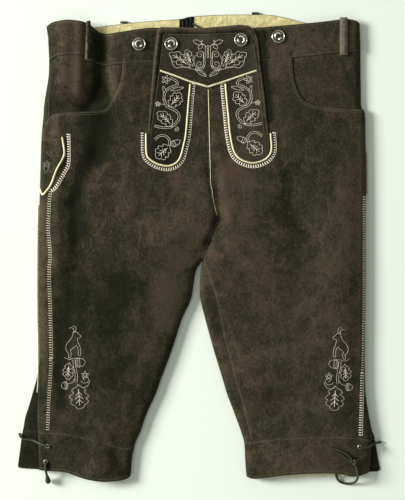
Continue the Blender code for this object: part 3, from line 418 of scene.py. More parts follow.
# %% Routes of the laces
LACE_RADIUS = 2.0
BACK_LACE_RADIUS = 1.4
Lace = namedtuple("Lace", "far_end stiffness points")
LACES = {
    "lace_left_upper": Lace("object", "medium", [
        (-256.6, -338.9, 17.4), (-262, -337.2, 16.8), (-269.3, -334.9, 14.0), (-275.2, -333.0, 9.6),
        (-280.2, -331.4, 5.6), (-286, -330, 3.9), (-293, -329, 3.8), (-298.4, -327.9, 3.9),
        (-302.4, -325.4, 4.0), (-305.3, -322, 3.2), (-306.2, -318.4, 2.4),
    ]),
    "lace_left_lower": Lace("knot", "medium", [
        (-260.1, -365.5, 16.9), (-260.2, -370, 16.5), (-260, -376, 16.4), (-259.6, -381, 16.2),
        (-259, -384.8, 14.6), (-258.5, -387.8, 12.2), (-257.9, -391.4, 10.0), (-257.2, -396.5, 7.8),
        (-256.6, -400.6, 6.3),
    ]),
    "lace_right_upper": Lace("object", "medium", [
        (272.8, -339.8, 18.1), (278, -341, 17.3), (284, -341.6, 16.0), (290, -340, 13.7),
        (295.6, -337.2, 9.7), (299.5, -335.4, 6.1), (304, -334.4, 3.5), (308, -333.8, 2.5),
        (311, -333.6, 2.3),
    ]),
    "lace_right_end_upper": Lace("bare", "medium", [
        (258.4, -360.2, 19.5), (250.8, -352.8, 19.6), (238.7, -345.8, 20.3), (223, -340.6, 20.7),
    ]),
    "lace_right_end_lower": Lace("bare", "medium", [
        (256.1, -364, 19.2), (249.5, -358.6, 19.4), (240.5, -352.4, 20.1), (231, -349, 20.6),
        (223, -348.2, 20.9),
    ]),
    "lace_right_loop": Lace("object", "medium", [
        (265.3, -370.2, 17.9), (266.9, -375, 17.6), (268.2, -382, 17.5), (268.8, -388.4, 17.3),
        (268.8, -392.6, 15.6), (268.2, -396.6, 12.2), (265.8, -400.6, 7.8), (261, -403.2, 4.6),
        (254.5, -404.6, 2.9), (247.5, -404, 2.4), (241, -401.6, 2.5), (237, -397.8, 3.2),
        (234.6, -393, 4.8), (233.6, -387.6, 5.5), (233.4, -382, 5.6), (233.6, -376, 5.6),
    ]),
    "lace_back": Lace("object", "medium", [
        (-10.5, 380.5, 5.2), (-8.2, 377.2, 5.0), (-4.6, 375.6, 5.0), (-1.2, 374.2, 5.0),
        (0.8, 371, 5.0), (0.8, 366, 5.0), (2.4, 360, 5.0), (3.8, 353, 5.0), (3.4, 345, 5.0),
    ]),
}


def line_length(line):
    return float(np.linalg.norm(np.diff(line, axis=0), axis=1).sum())


def in_scene(name, data):
    made = bpy.data.objects.new(name, data)
    bpy.context.scene.collection.objects.link(made)
    return made


def keep_piece(thing, finish_slot, *nodes):
    """A finished piece rides on the one body and stands for its CAD nodes. finish_slot is not used."""
    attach(thing, "root")
    if nodes:
        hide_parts(*nodes)
    return thing


# %% Laces as bevelled curves
def make_lace(name, lace):
    line = smooth_line(lace.points, 1.6)
    data = bpy.data.curves.new(name + "_leather", "CURVE")
    data.dimensions = "3D"
    data.bevel_depth = (BACK_LACE_RADIUS if name == "lace_back" else LACE_RADIUS) * MM
    data.bevel_resolution = 3
    data.use_fill_caps = True
    spline = data.splines.new("POLY")
    spline.points.add(len(line) - 1)
    for spot, point in zip(spline.points, line):
        spot.co = (*(Vector(point) * MM), 1.0)
    spline.use_smooth = True
    data.materials.append(LACE)
    return keep_piece(in_scene(name + "_leather", data), "lace", name), line


lace_objects = {name: make_lace(name, lace) for name, lace in LACES.items()}
for name, (thing, line) in lace_objects.items():
    print(name, "length", round(line_length(line)), "mm")

# %% [markdown]
# ## Meshes from points
# A turned shape is a profile of radius and height, swept round an axis. It serves for the button,
# the eyelet and the swollen lace end.

# %% Objects from points in millimetres
SHEET_ANGLE, ROUND_ANGLE = 50.0, 60.0


def add_object(name, points, faces, finish, smooth_angle):
    """A mesh, smooth across edges that turn by less than the angle."""
    mesh = bpy.data.meshes.new(name)
    mesh.from_pydata((np.asarray(points, float) * MM).tolist(), [], faces)
    mesh.materials.append(finish)
    thing = in_scene(name, mesh)
    mesh.shade_smooth()
    mesh.set_sharp_from_angle(angle=math.radians(smooth_angle))
    return thing


def turned(name, profile, segments, place, up, finish, wave=None):
    """wave(turn, radius) scales a radius, for a profile that isn't round all the way."""
    tilt = Vector((0, 0, 1)).rotation_difference(Vector(up)).to_matrix()
    points, faces, spots = [], [], []
    ring = profile[0][0] > 0 and profile[0] == profile[-1]
    for radius, height in (profile[:-1] if ring else profile):
        if radius == 0:
            spots.append([len(points)] * segments)
            points.append(Vector(place) + tilt @ Vector((0, 0, height)))
            continue
        spots.append([len(points) + k for k in range(segments)])
        for k in range(segments):
            turn = 2 * math.pi * k / segments
            r = radius * (wave(turn, radius) if wave else 1.0)
            points.append(Vector(place) + tilt @ Vector((r * math.cos(turn), r * math.sin(turn), height)))
    pairs = list(zip(spots, spots[1:])) + ([(spots[-1], spots[0])] if ring else [])
    for low, high in pairs:
        for k in range(segments):
            n = (k + 1) % segments
            face = [low[k], low[n], high[n], high[k]]
            faces.append([v for i, v in enumerate(face) if v not in face[:i]])
    return add_object(name, points, faces, finish, ROUND_ANGLE)


def frames_along(line):
    """For each point of a 3-D line: the direction, and two axes across it, turned as little as can be."""
    along = np.gradient(line, axis=0)
    along /= np.linalg.norm(along, axis=1)[:, None]
    side = np.cross(along[0], (0.0, 0.0, 1.0))
    if np.linalg.norm(side) < 1e-6:
        side = np.array([1.0, 0.0, 0.0])
    sides = []
    for way in along:
        side = side - way * (side @ way)
        side = side / np.linalg.norm(side)
        sides.append(side)
    sides = np.array(sides)
    return along, sides, np.cross(sides, along)


def round_bar(name, line, radii, finish, segments=12, closed=False):
    """A bar of changing radius along a 3-D line, closed at both ends or joined into a ring."""
    line = np.asarray(line, float)
    _, side, up = frames_along(line)
    radii = np.broadcast_to(radii, len(line))
    turns = (2 * math.pi * np.arange(segments) / segments)[None, :, None]
    ways = np.cos(turns) * side[:, None] + np.sin(turns) * up[:, None]
    points = (line[:, None] + radii[:, None, None] * ways).reshape(-1, 3)
    faces = []
    count = len(line)
    for i in range(count if closed else count - 1):
        j = (i + 1) % count
        for k in range(segments):
            n = (k + 1) % segments
            faces.append((i * segments + k, i * segments + n, j * segments + n, j * segments + k))
    if not closed:
        faces.append(tuple(range(segments))[::-1])
        faces.append(tuple((count - 1) * segments + k for k in range(segments)))
    return add_object(name, points, faces, finish, ROUND_ANGLE)


# %% The lace's swollen end and the knot
LACE_END = {"start": (-258.4, -388.3, 11.8), "stop": (-256.2, -403.4, 5.3), "radius": 4.9}
END_PRESSED = 0.05
KNOT_CENTRE = (262.6, -364.8, 20.1)
KNOT_SCALE = (1.5, 1.32, 1.55)
KNOT_BAR = 1.75

start, stop = Vector(LACE_END["start"]), Vector(LACE_END["stop"])
length, thick = (stop - start).length, LACE_END["radius"]
end_profile = [(0.0, 0.0)] + [
    (thick * share, length * height)
    for share, height in (
        (0.44, 0.01), (0.52, 0.08), (0.60, 0.2), (0.74, 0.34), (0.88, 0.48), (0.97, 0.6),
        (1.0, 0.72), (0.93, 0.84), (0.74, 0.93), (0.4, 0.985),
    )
] + [(0.0, length)]


def pressed(turn, _):
    """A little less wide on two sides, where the hem presses the end."""
    return 1.0 - END_PRESSED * (0.5 + 0.5 * math.cos(2 * turn))


lace_end = turned("lace_left_end_leather", end_profile, 28, start, stop - start, LACE, wave=pressed)
keep_piece(lace_end, "lace", "lace_left_end")

turns = np.linspace(0.0, 2 * math.pi, 96, endpoint=False)
knot_line = np.column_stack([
    KNOT_SCALE[0] * (np.sin(turns) + 2 * np.sin(2 * turns)),
    KNOT_SCALE[1] * (np.cos(turns) - 2 * np.cos(2 * turns)),
    -KNOT_SCALE[2] * np.sin(3 * turns),
]) + KNOT_CENTRE
knot = round_bar("lace_right_knot_leather", knot_line, KNOT_BAR, LACE, closed=True)
keep_piece(knot, "lace", "lace_right_knot")
print("knot and lace end made")

for name, (thing, line) in lace_objects.items():
    tuple(line[0] * MM)
    LACES[name].far_end
    LACES[name].stiffness

# %% [markdown]
# ## Outlines and seams of the garment
# These tables are the pattern: the legs by section, the waist, the cuffs, the pocket mouths, the
# drop flap with its bib and its two tongues, the knife pocket, and the slits at the knees.

# %% The pattern's tables
WALL, BAND_WALL, LINING_WALL, GAP = 1.4, 2.4, 1.2, 0.3
BACK_TOP = LAYER = WALL + GAP

Section = namedtuple("Section", "y outer_left inner_left inner_right outer_right rise")
SECTIONS = [
    Section(390, -261.0, None, None, 273.5, 2.5),
    Section(374, -260.0, None, None, 274.0, 2.5),
    Section(346, -256.0, None, None, 275.0, 2.5),
    Section(317, -255.5, None, None, 275.4, 2.5),
    Section(290, -256.5, None, None, 275.6, 3.0),
    Section(262, -261.0, None, None, 276.0, 3.0),
    Section(238, -264.5, None, None, 276.8, 3.0),
    Section(226, -265.0, None, None, 282.8, 3.0),
    Section(181, -268.6, None, None, 284.0, 3.5),
    Section(104, -271.0, None, None, 284.8, 4.0),
    Section(40, -272.8, None, None, 284.2, 5.0),
    Section(-23, -273.5, 6.8, 6.8, 284.0, 6.0),
    Section(-40, -273.6, -4.6, 3.4, 284.0, 6.5),
    Section(-66, -273.7, -9.4, 1.9, 284.0, 7.0),
    Section(-91, -273.7, -14.0, 2.8, 283.8, 7.5),
    Section(-125, -273.2, -29.5, 11.0, 283.4, 8.0),
    Section(-176, -272.3, -46.0, 25.0, 283.0, 8.0),
    Section(-227, -272.6, -65.0, 40.6, 283.2, 8.0),
    Section(-252, -274.0, -74.0, 48.0, 284.2, 8.0),
    Section(-286, -275.2, -89.5, 61.0, 289.2, 7.5),
    Section(-315, -274.6, -99.5, 71.5, 294.6, 7.0),
    Section(-334, -273.8, -108.0, 77.0, 294.4, 7.0),
    Section(-360, -272.9, -114.0, 78.6, 292.4, 7.0),
    Section(-388, -272.0, -116.2, 80.6, 290.2, 7.0),
    Section(-403, -271.6, -118.0, 82.0, 289.6, 7.0),
]
WAIST_TOP = [
    (-270, 368), (-260, 374), (-250, 380.5), (-236, 383), (-222, 384), (-205, 382.5), (-189, 379),
    (-180, 372.5), (-171, 365.5), (-156, 362), (-134, 364.5), (-100, 369.5), (-72, 371.5),
    (0, 366), (60, 369), (97, 371.5), (172, 378), (223, 383.5), (248, 386.8), (267, 384), (276, 378),
]
WAIST_SEAM = [
    (-262, 311), (-254, 316.3), (-245, 321.3), (-236, 324), (-196, 324.6), (-177, 313.6),
    (-160, 307.4), (-134, 310), (-78, 312.8), (10, 313), (108, 314.2), (157, 320), (239, 329.4),
    (274, 331.6), (280, 332),
]
CUFF_SEAM_LEFT = [
    (-280, -315.2), (-256, -315.4), (-228, -316.8), (-198, -322.6), (-165, -331), (-139, -339),
    (-123, -342), (-104, -336.5),
]
CUFF_SEAM_RIGHT = [
    (70, -332), (84.5, -332.6), (118, -327.2), (172, -323.2), (221, -322.2), (266, -324.2), (300, -330),
]
HEM_LEFT = [
    (-280, -380.6), (-243, -381.6), (-224, -383.8), (-204, -390.6), (-185, -396), (-165, -399.2),
    (-151, -399.4), (-132, -397.4), (-121, -394), (-112, -386),
]
HEM_RIGHT = [
    (74, -388), (90, -394.6), (114, -392.5), (143, -388.6), (182, -385.8), (221, -384.8),
    (246, -387), (256, -390.6), (272, -389.6), (296, -382),
]
CENTRE_SEAM = [
    (10, 420), (12, 330), (15.6, 271), (16.3, 249), (18.7, 154), (20.1, 108), (22.1, 97.8),
    (25.2, 75.6), (31, 52), (33.6, 43), (26.5, 28), (17.5, 6.8), (11.4, -12.8), (6.8, -23),
]
INSEAM_RIGHT = [
    (6.8, -23), (17, -53.5), (25.2, -76.7), (31.1, -99.5), (36.4, -123), (40, -145), (54.4, -201),
    (70.9, -261), (84, -312), (88, -328),
]
MOUTH_LEFT = [
    (-129, 320), (-130, 303), (-131.2, 289), (-137.7, 267), (-149.6, 245.7), (-165, 231.5),
    (-204, 228.3), (-238.5, 226), (-254, 219), (-262, 205),
]
MOUTH_RIGHT = [
    (158, 330), (159.5, 303), (161, 288), (166.6, 267.8), (175.8, 251.3), (190, 242), (213, 236.2),
    (241, 233.8), (290, 232.4),
]
FLAP_OUTER = [
    (-86.2, 192.5), (-84.4, 226), (-81.6, 256), (-77.5, 311), (-73.4, 350), (-71, 366), (-65, 372.4),
    (10, 371), (70, 376.4), (84, 375), (93, 369), (98, 359), (101, 347), (104.5, 308), (111.6, 256),
    (117.8, 192.5),
]
FLAP_INNER = [
    (-83.3, 192.5), (-77, 238), (-70.7, 283), (-67.4, 312), (-64, 340), (-61, 361.4), (10, 361.4),
    (81, 364.4), (89, 353), (95.2, 341), (99, 315), (101.7, 291.6), (106.6, 245), (112.6, 192.5),
]
BIB_EDGE = [
    (-74, 301), (-67.7, 298.9), (-40, 289.6), (-15.3, 280), (15.8, 270.9), (44, 280), (70, 289),
    (97, 298), (106, 301),
]
TONGUE_LEFT = [
    (-14.7, 276.4), (-17.5, 246), (-19.6, 220), (-22.1, 192), (-25.8, 172.5), (-33.5, 147.5),
    (-48.6, 137), (-67, 138.9), (-83.2, 147.9), (-88.9, 159), (-89.8, 192.5),
]
TONGUE_RIGHT = [
    (44.9, 276.4), (47.6, 246), (50, 222), (52.2, 198), (56.1, 174), (62, 156.5), (74.3, 146),
    (92.5, 141.6), (111, 147), (120.6, 156.5), (123.2, 168), (121.6, 192.5),
]
BIB_PIPING_X = (-66.4, 98.8)
TONGUE_HEAD = 8.0
CENTRE_PIPING_Y = (53.0, 266.8)
FACING_MARGIN = 11.0
KNIFE_TOP = [(-265.4, 185.0), (-250, 186.4)]
KNIFE_PIPING = [(-232, 186), (-228.2, 160.5), (-231.4, 148), (-241.6, 129), (-251.4, 104.6), (-263.6, 88.6)]
KNIFE_INSET = 3.3
KNIFE_TURN = [(-266.2, 88.4), (-268.2, 92.0), (-270.2, 98.4)]
FRONT_LOOPS = {
    "left": [(-193.4, 315.8), (-181.6, 315.2), (-183.8, 383.2), (-190.8, 382.6)],
    "right": [(239.0, 325.0), (252.6, 325.0), (252.6, 389.0), (239.0, 389.0)],
}
BACK_LOOP_TIPS = {"left": (-134.2, -122.4, 380.9, 384.0), "right": (90.2, 102.0, 396.3, 399.55)}
LOOP_TIP_HEIGHT = 3.4
PIPING_WIDTH = 3.3
SEAM_STEP, TRIM_STEP = 4.0, 3.0


def side_line(column):
    rows = [(getattr(s, column), s.y) for s in SECTIONS if getattr(s, column) is not None]
    return smooth_line(rows, SEAM_STEP)


OUTER_LEFT, OUTER_RIGHT, INNER_LEFT, INNER_RIGHT = (
    side_line(c) for c in ("outer_left", "outer_right", "inner_left", "inner_right")
)
SIDES = [OUTER_LEFT, OUTER_RIGHT, INNER_LEFT, INNER_RIGHT]
waist_top, waist_seam, centre_seam, inseam = (
    smooth_line(points, SEAM_STEP) for points in (WAIST_TOP, WAIST_SEAM, CENTRE_SEAM, INSEAM_RIGHT)
)
cuff_left, cuff_right, hem_left, hem_right = (
    smooth_line(points, SEAM_STEP) for points in (CUFF_SEAM_LEFT, CUFF_SEAM_RIGHT, HEM_LEFT, HEM_RIGHT)
)
mouth_left, mouth_right = smooth_line(MOUTH_LEFT, TRIM_STEP), smooth_line(MOUTH_RIGHT, TRIM_STEP)
flap_outer, flap_inner = even_steps(FLAP_OUTER, SEAM_STEP), even_steps(FLAP_INNER, SEAM_STEP)
bib_edge, knife_piping = even_steps(BIB_EDGE, TRIM_STEP), smooth_line(KNIFE_PIPING, TRIM_STEP)
tongues = {"left": smooth_line(TONGUE_LEFT, TRIM_STEP), "right": smooth_line(TONGUE_RIGHT, TRIM_STEP)}
crotch_y = INNER_LEFT[:, 1].max()
print("side seams", round(line_length(OUTER_LEFT)), "and", round(line_length(OUTER_RIGHT)), "mm long")

# %% [markdown]
# ## The relief of the front
# Cloth laid over its own back rises with a round roll at the side edges, then swells slowly to a
# crown. Folds are ridges and troughs along short segments. Each seam draws the suede down into a
# shallow groove, and a little noise keeps the hide from lying perfectly smooth.

# %% Folds and grooves
LIP, ROLL_RADIUS, ROLL_RISE, CROWN_REACH, FOLD_FADE = 2.6, 11.0, 7.0, 75.0, 26.0
RISE_Y = np.array([s.y for s in SECTIONS[::-1]], float)
RISE = np.array([s.rise for s in SECTIONS[::-1]], float)

Fold = namedtuple("Fold", "x1 y1 x2 y2 width height")
LARGE_FOLDS = [
    Fold(-222, 392, -232, 262, 22, 8.5),
    Fold(-200, 392, -203, 262, 10, 5.5),
    Fold(-162, 392, -166, 256, 11, -7.5),
    Fold(-156, 226, -168, 160, 20, -4.2),
    Fold(-172, 156, -205, 80, 15, -3.2),
    Fold(-239, 215, -240, -30, 9, 3.2),
    Fold(-210, 72, -205, 8, 12, -3.4),
    Fold(-206, 0, -220, -120, 12, -3.0),
    Fold(-221, -130, -228, -250, 10, -2.2),
    Fold(150, 112, 153, -60, 34, -2.6),
    Fold(236, 70, 242, -110, 30, 2.0),
    Fold(-60, 40, -70, -90, 40, 1.8),
    Fold(-246, -64, -206, -38, 9, -3.4),
    Fold(-236, -92, -238, -226, 9, -3.0),
    Fold(34, 44, 19, 8, 8, -5.0),
    Fold(19, 8, 8, -20, 8, -3.5),
    Fold(24, 128, 34, 50, 9, -3.5),
    Fold(44, 20, 92, -34, 13, 3.0),
    Fold(60, 62, 150, 26, 17, 2.6),
    Fold(-18, 34, -96, -6, 16, 2.6),
    Fold(-40, 84, -140, 60, 20, -2.2),
    Fold(180, 150, 262, 120, 20, 2.0),
    Fold(-142, -352, -117, -392, 10, -3.8),
    Fold(-160, -372, -196, -392, 14, 2.6),
    Fold(120, -250, 210, -300, 20, -2.4),
    Fold(-120, -200, -190, -262, 20, -2.4),
]
SMALL_FOLDS = [
    Fold(-240, -56, -204, -41, 5, 1.5),
    Fold(-236, -84, -204, -64, 6, 1.3),
    Fold(-240, 219, -160, 226, 7, 2.0),
    Fold(-150, 237, -136, 262, 5, 0.8),
    Fold(36, 152, 44, 100, 9, 1.3),
    Fold(42, 62, 58, 46, 7, 1.6),
    Fold(-98, -150, -164, -222, 12, 1.1),
    Fold(-142, 339, -128, 350, 4, 0.9),
    Fold(100, 336, 142, 339, 3.5, -0.8),
    Fold(112, 328, 150, 330, 4, 0.7),
    Fold(-238, -100, -262, -96, 6, -0.9),
    Fold(-248, -20, -262, -24, 7, -0.8),
    Fold(214, -120, 262, -132, 12, 0.9),
    Fold(98, -60, 172, -96, 14, 1.0),
    Fold(-70, -60, -120, -120, 14, 0.9),
    Fold(60, 120, 132, 96, 13, 0.9),
    Fold(150, 60, 200, -8, 14, -1.0),
    Fold(-205, 262, -196, 206, 8, -0.8),
    Fold(-120, 130, -118, 40, 16, 1.1),
    Fold(-206, -352, -214, -378, 7, -0.9),
    Fold(-178, -340, -172, -366, 8, 0.8),
    Fold(150, -340, 156, -376, 10, -0.7),
    Fold(196, -336, 206, -374, 9, 0.6),
    Fold(-222, -290, -150, -306, 10, 1.0),
    Fold(150, -282, 236, -262, 12, 0.9),
]
GROOVE_WIDTH, GROOVE_DEPTH = 2.1, 0.75
HEM_ROUND, HEM_DROP = 3.0, 0.9
MOUTH_LIP, MOUTH_LIP_WIDTH, MOUTH_LIP_PLACE, MOUTH_TOP_X = 0.8, 2.4, 3.4, -129.1
GROOVE_FADE, LIP_FADE, INNER_GROOVE, FLAT_RIM = 4.0, 6.0, 0.6, 1.8
grooves = [waist_seam, cuff_left, cuff_right, stretch(centre_seam, 1, -22.0, 372.0), inseam]
open_edges = [waist_top, hem_left, hem_right, stretch(mouth_left, 0, -260, MOUTH_TOP_X), mouth_right]


def fold_height(points, folds):
    total = np.zeros(len(points))
    for fold in folds:
        segment = np.array([(fold.x1, fold.y1), (fold.x2, fold.y2)], float)
        total += fold.height * nearness(distance_to(segment, points), fold.width)
    return total


def edge_distance(points):
    return np.min([distance_to(line[::2], points) for line in SIDES], axis=0)


HIDE_WAVES = ((0.55, 0.021, 3.0), (0.30, 0.055, 9.0), (0.12, 0.16, 21.0))
BAND_WAVE, BAND_FOOT = 0.28, 320.0


def hide_noise(points):
    """Slow, shallow waves of a hide that doesn't lie quite flat, and level creases on the band."""
    return np.array([
        sum(height * noise.noise((x * pace, y * pace, seed)) for height, pace, seed in HIDE_WAVES)
        + (BAND_WAVE * noise.noise((x * 0.02, y * 0.24, 33.0)) if y > BAND_FOOT else 0.0)
        for x, y in points
    ])


def relief(points, depth, details):
    """Height of the front's outer face, for points at a depth from the side edge."""
    round_part = 1.0 - np.minimum(depth / ROLL_RADIUS, 1.0)
    roll = ROLL_RISE * np.sqrt(1.0 - round_part**2)
    crown = 1.0 - (1.0 - np.minimum(depth / CROWN_REACH, 1.0)) ** 2
    fade = np.minimum(depth / FOLD_FADE, 1.0)
    fade = fade * fade * (3.0 - 2.0 * fade)
    rise = np.interp(points[:, 1], RISE_Y, RISE)
    return BACK_TOP + LIP + roll + rise * crown + fade * details


print(len(LARGE_FOLDS), "large folds and", len(SMALL_FOLDS), "small ones")


# %% [markdown]
# ## One plan for all the pieces
# The front's pieces share their seams, so they are cut from one plan of triangles, which holds
# every seam and every trim line as edges. A piece is a set of those triangles with a height at
# each point. Layers that share a plan can't cross each other.

# %% The plan of triangles
GRID = 4.6
RING_DEPTHS = (0.5, 1.2, 2.2, 3.6, 5.4, 7.6, 10.2, 13.0)


class Plan:
    def __init__(self):
        self.points, self.edges = [], []

    def add_line(self, line, closed=False):
        first = len(self.points)
        self.points += [tuple(p[:2]) for p in line]
        self.edges += [(first + i, first + i + 1) for i in range(len(line) - 1)]
        if closed:
            self.edges.append((first + len(line) - 1, first))

    def fill(self, wanted, spacing, low, high):
        """Points in staggered rows, clear of every line."""
        rows = np.arange(low[1], high[1], spacing * math.sqrt(3) / 2)
        grid = np.array([
            (x + (spacing / 2 if k % 2 else 0.0), y)
            for k, y in enumerate(rows) for x in np.arange(low[0], high[0], spacing)
        ])
        grid = grid[wanted(grid)]
        tree = kdtree.KDTree(len(self.points))
        for i, p in enumerate(self.points):
            tree.insert((p[0], p[1], 0.0), i)
        tree.balance()
        self.points += [tuple(g) for g in grid if tree.find((g[0], g[1], 0.0))[2] > 0.6 * spacing]

    def triangulate(self, merge=0.05):
        made = delaunay_2d_cdt([Vector(p) for p in self.points], self.edges, [], 0, merge)
        self.xy = np.array([tuple(v) for v in made[0]], float)
        triangles = np.array([f for f in made[2] if len(f) == 3], int)
        a, b, c = (self.xy[triangles[:, k]] for k in range(3))
        area = cross(b - a, c - a)
        triangles[area < 0] = triangles[area < 0][:, ::-1]
        self.triangles = triangles[np.abs(area) > 1e-3]
        self.middles = self.xy[self.triangles].mean(1)


def is_front(points):
    between = (points[:, 1] < crotch_y) & ~left_of(INNER_LEFT, points) & left_of(INNER_RIGHT, points)
    hem = np.where(points[:, 0] < 0, above(hem_left, points), above(hem_right, points))
    beside = left_of(OUTER_LEFT, points) | ~left_of(OUTER_RIGHT, points)
    return ~beside & ~above(waist_top, points) & hem & ~between


def tongue_inner(side):
    return offset(tongues[side], -PIPING_WIDTH / 2 if side == "left" else PIPING_WIDTH / 2)


def knife_outline():
    edge = offset(knife_piping, -PIPING_WIDTH / 2)
    side = stretch(offset(OUTER_LEFT, KNIFE_INSET), 1, edge[-1, 1] + 6.0, KNIFE_TOP[0][1] - 5.0)
    return np.vstack([KNIFE_TOP, edge, side])


def loop_outline(side):
    corners = FRONT_LOOPS[side]
    return even_steps([*corners, corners[0]], 3.0)[:-1]


EDGE_ROUND, SEAM_ROUND = 1.1, 1.6
cross_seams = [waist_seam, cuff_left, cuff_right, hem_left, hem_right]
long_seams = [centre_seam, inseam, mouth_left, mouth_right]
facings = [offset(mouth_left, FACING_MARGIN), offset(mouth_right, -FACING_MARGIN)]
layers = [(flap_outer, -1), (flap_inner, 1), (knife_outline(), -1)]
layers += [(loop_outline(side), 1) for side in FRONT_LOOPS]
plan = Plan()
for line in (waist_top, *cross_seams, *long_seams, bib_edge, *facings):
    plan.add_line(line)
for line in (*cross_seams, waist_top, *long_seams):
    for way in (-SEAM_ROUND, SEAM_ROUND):
        plan.add_line(offset(line, way))
for line, inward in zip(SIDES, (1, -1, -1, 1)):
    plan.add_line(line)
    for depth in RING_DEPTHS:
        plan.add_line(offset(line, inward * depth))
for outline, way in layers:
    plan.add_line(outline, closed=True)
    plan.add_line(offset(outline, way * EDGE_ROUND), closed=True)
for side, line in tongues.items():
    plan.add_line(tongue_inner(side))
    start = tongue_inner(side)[0]
    plan.add_line([start, (start[0], start[1] + TONGUE_HEAD)])
plan.fill(is_front, GRID, (-280, -404), (292, 392))
plan.triangulate()
print("plan:", len(plan.xy), "points,", len(plan.triangles), "triangles")

# %% Heights on the plan
xy = plan.xy
side_depth = edge_distance(xy)
large = fold_height(xy, LARGE_FOLDS)
small = fold_height(xy, SMALL_FOLDS) + hide_noise(xy)
groove = np.zeros(len(xy))
for line in grooves:
    groove = np.maximum(groove, GROOVE_DEPTH * nearness(distance_to(line, xy), GROOVE_WIDTH))
for line in open_edges:
    near = np.clip(1.0 - distance_to(line, xy) / HEM_ROUND, 0.0, 1.0)
    groove = np.maximum(groove, HEM_DROP * near**2)
groove *= np.minimum(side_depth / GROOVE_FADE, 1.0)
lip = np.zeros(len(xy))
for line in (stretch(mouth_left, 0, -262, MOUTH_TOP_X), mouth_right):
    beside = distance_to(offset(line, -MOUTH_LIP_PLACE), xy)
    lip = np.maximum(lip, MOUTH_LIP * nearness(beside, MOUTH_LIP_WIDTH))
top = relief(xy, side_depth, large + small) - groove + lip * np.minimum(side_depth / LIP_FADE, 1.0)
inner_depth = np.maximum(side_depth - WALL, 0.0)


def under(wall):
    """The front's inner face, flat on the back at the side edges."""
    inner = np.maximum(relief(xy, inner_depth, large + small) - INNER_GROOVE * groove - wall, BACK_TOP)
    return np.where(side_depth <= FLAT_RIM, BACK_TOP, inner)


print("cloth from", round(top.min(), 1), "to", round(top.max(), 1), "mm above the table")

# %% [markdown]
# ## Sheets
# A sheet has an outer and an inner face and a rim between them. The rim is drawn in by half a gap
# along the triangles that are there, and bulges a little in the middle, as a cut leather edge does.

# %% Sheets from the plan
EDGE_BULGE = 0.1


def rim_edges(triangles):
    """The edges that only one triangle has, in its own direction."""
    count = defaultdict(int)
    for t in triangles:
        for i in range(3):
            count[(min(t[i], t[i - 1]), max(t[i], t[i - 1]))] += 1
    return [
        (t[i], t[(i + 1) % 3]) for t in triangles for i in range(3)
        if count[(min(t[i], t[(i + 1) % 3]), max(t[i], t[(i + 1) % 3]))] == 1
    ]


def drawn_in(points, triangles, rim, heights, gap):
    """The plan and the heights with the rim moved in, and the way out at each rim point."""
    moved_xy, moved, outward = points.copy(), [h.copy() for h in heights], {}
    ways, around = defaultdict(list), defaultdict(list)
    for a, b in rim:
        along = (points[b] - points[a]) / max(np.linalg.norm(points[b] - points[a]), 1e-9)
        for end in (a, b):
            ways[end].append(np.array([-along[1], along[0]]))
    for triangle in triangles:
        for corner in triangle:
            if corner in ways:
                around[corner].append(triangle)
    for corner, inward in ways.items():
        way = np.sum(inward, axis=0)
        way = way / max(np.linalg.norm(way), 1e-9)
        outward[corner] = -way
        target = points[corner] + way * gap / 2 / max(min(float(way @ n) for n in inward), 0.45)
        best = None
        for t in around[corner]:
            a, b, c = points[t[0]], points[t[1]], points[t[2]]
            area = cross(b - a, c - a)
            v, w = cross(target - a, c - a) / area, cross(b - a, target - a) / area
            shares = np.array([1 - v - w, v, w])
            if best is None or shares.min() > best:
                best, weights, chosen = shares.min(), shares, list(t)
        weights = np.clip(weights, 0.0, None)
        weights /= weights.sum()
        moved_xy[corner] = weights @ points[chosen]
        for height, source in zip(moved, heights):
            height[corner] = weights @ source[chosen]
    return moved_xy, moved, outward


def sheet_from(name, points, triangles, face, back, finish, wear_and_shade=None, gap=0.16):
    """A closed sheet on a set of plan triangles. face and back are heights at every plan point."""
    rim = rim_edges(triangles)
    moved, (face, back), outward = drawn_in(points, triangles, rim, (face, back), gap)
    used = np.unique(triangles)
    place = {v: i for i, v in enumerate(used)}
    count = len(used)
    corners = [(*moved[v], face[v]) for v in used] + [(*moved[v], back[v]) for v in used]
    middle = {}
    for v in [a for a, _ in rim] + [b for _, b in rim]:
        if v not in middle:
            middle[v] = len(corners)
            corners.append((*(moved[v] + outward[v] * EDGE_BULGE), 0.5 * (face[v] + back[v])))
    faces = [tuple(place[v] for v in t) for t in triangles]
    faces += [tuple(place[v] + count for v in t[::-1]) for t in triangles]
    for a, b in rim:
        i, j = place[a], place[b]
        faces.append((middle[a], middle[b], j, i))
        faces.append((i + count, j + count, middle[b], middle[a]))
    made = add_object(name, corners, faces, finish, SHEET_ANGLE)
    attribute = made.data.attributes.new("wear_and_shade", "FLOAT", "POINT")
    values = np.zeros(len(corners))
    if wear_and_shade is not None:
        values[:count] = wear_and_shade[used]
    values[2 * count:] = 1.0
    attribute.data.foreach_set("value", values.astype(np.float32))
    return made


def plate(name, outline, low, high, finish, spacing=9.0):
    """A sheet with its own outline, lying flat."""
    outline = np.asarray(outline, float)
    own = Plan()
    own.add_line(outline, closed=True)
    own.fill(lambda grid: inside(outline, grid), spacing, outline.min(0), outline.max(0))
    own.triangulate()
    chosen = own.triangles[inside(outline, own.middles)]
    flat = np.ones(len(own.xy))
    wear_and_shade = nearness(distance_to_outline(outline, own.xy), 2.0)
    return sheet_from(name, own.xy, chosen, flat * high, flat * low, finish, wear_and_shade, 0.0)


# %% [markdown]
# ## The front's pieces
# The base layer is the two leg panels, the two halves of the waistband, the cuffs, the hip pieces
# behind the pocket mouths, and the right back panel's edge, which is turned up to the inseam. The
# hip pieces lie one layer lower and go on under the mouths. The left pocket gapes, so its hip
# piece sinks away from the mouth.

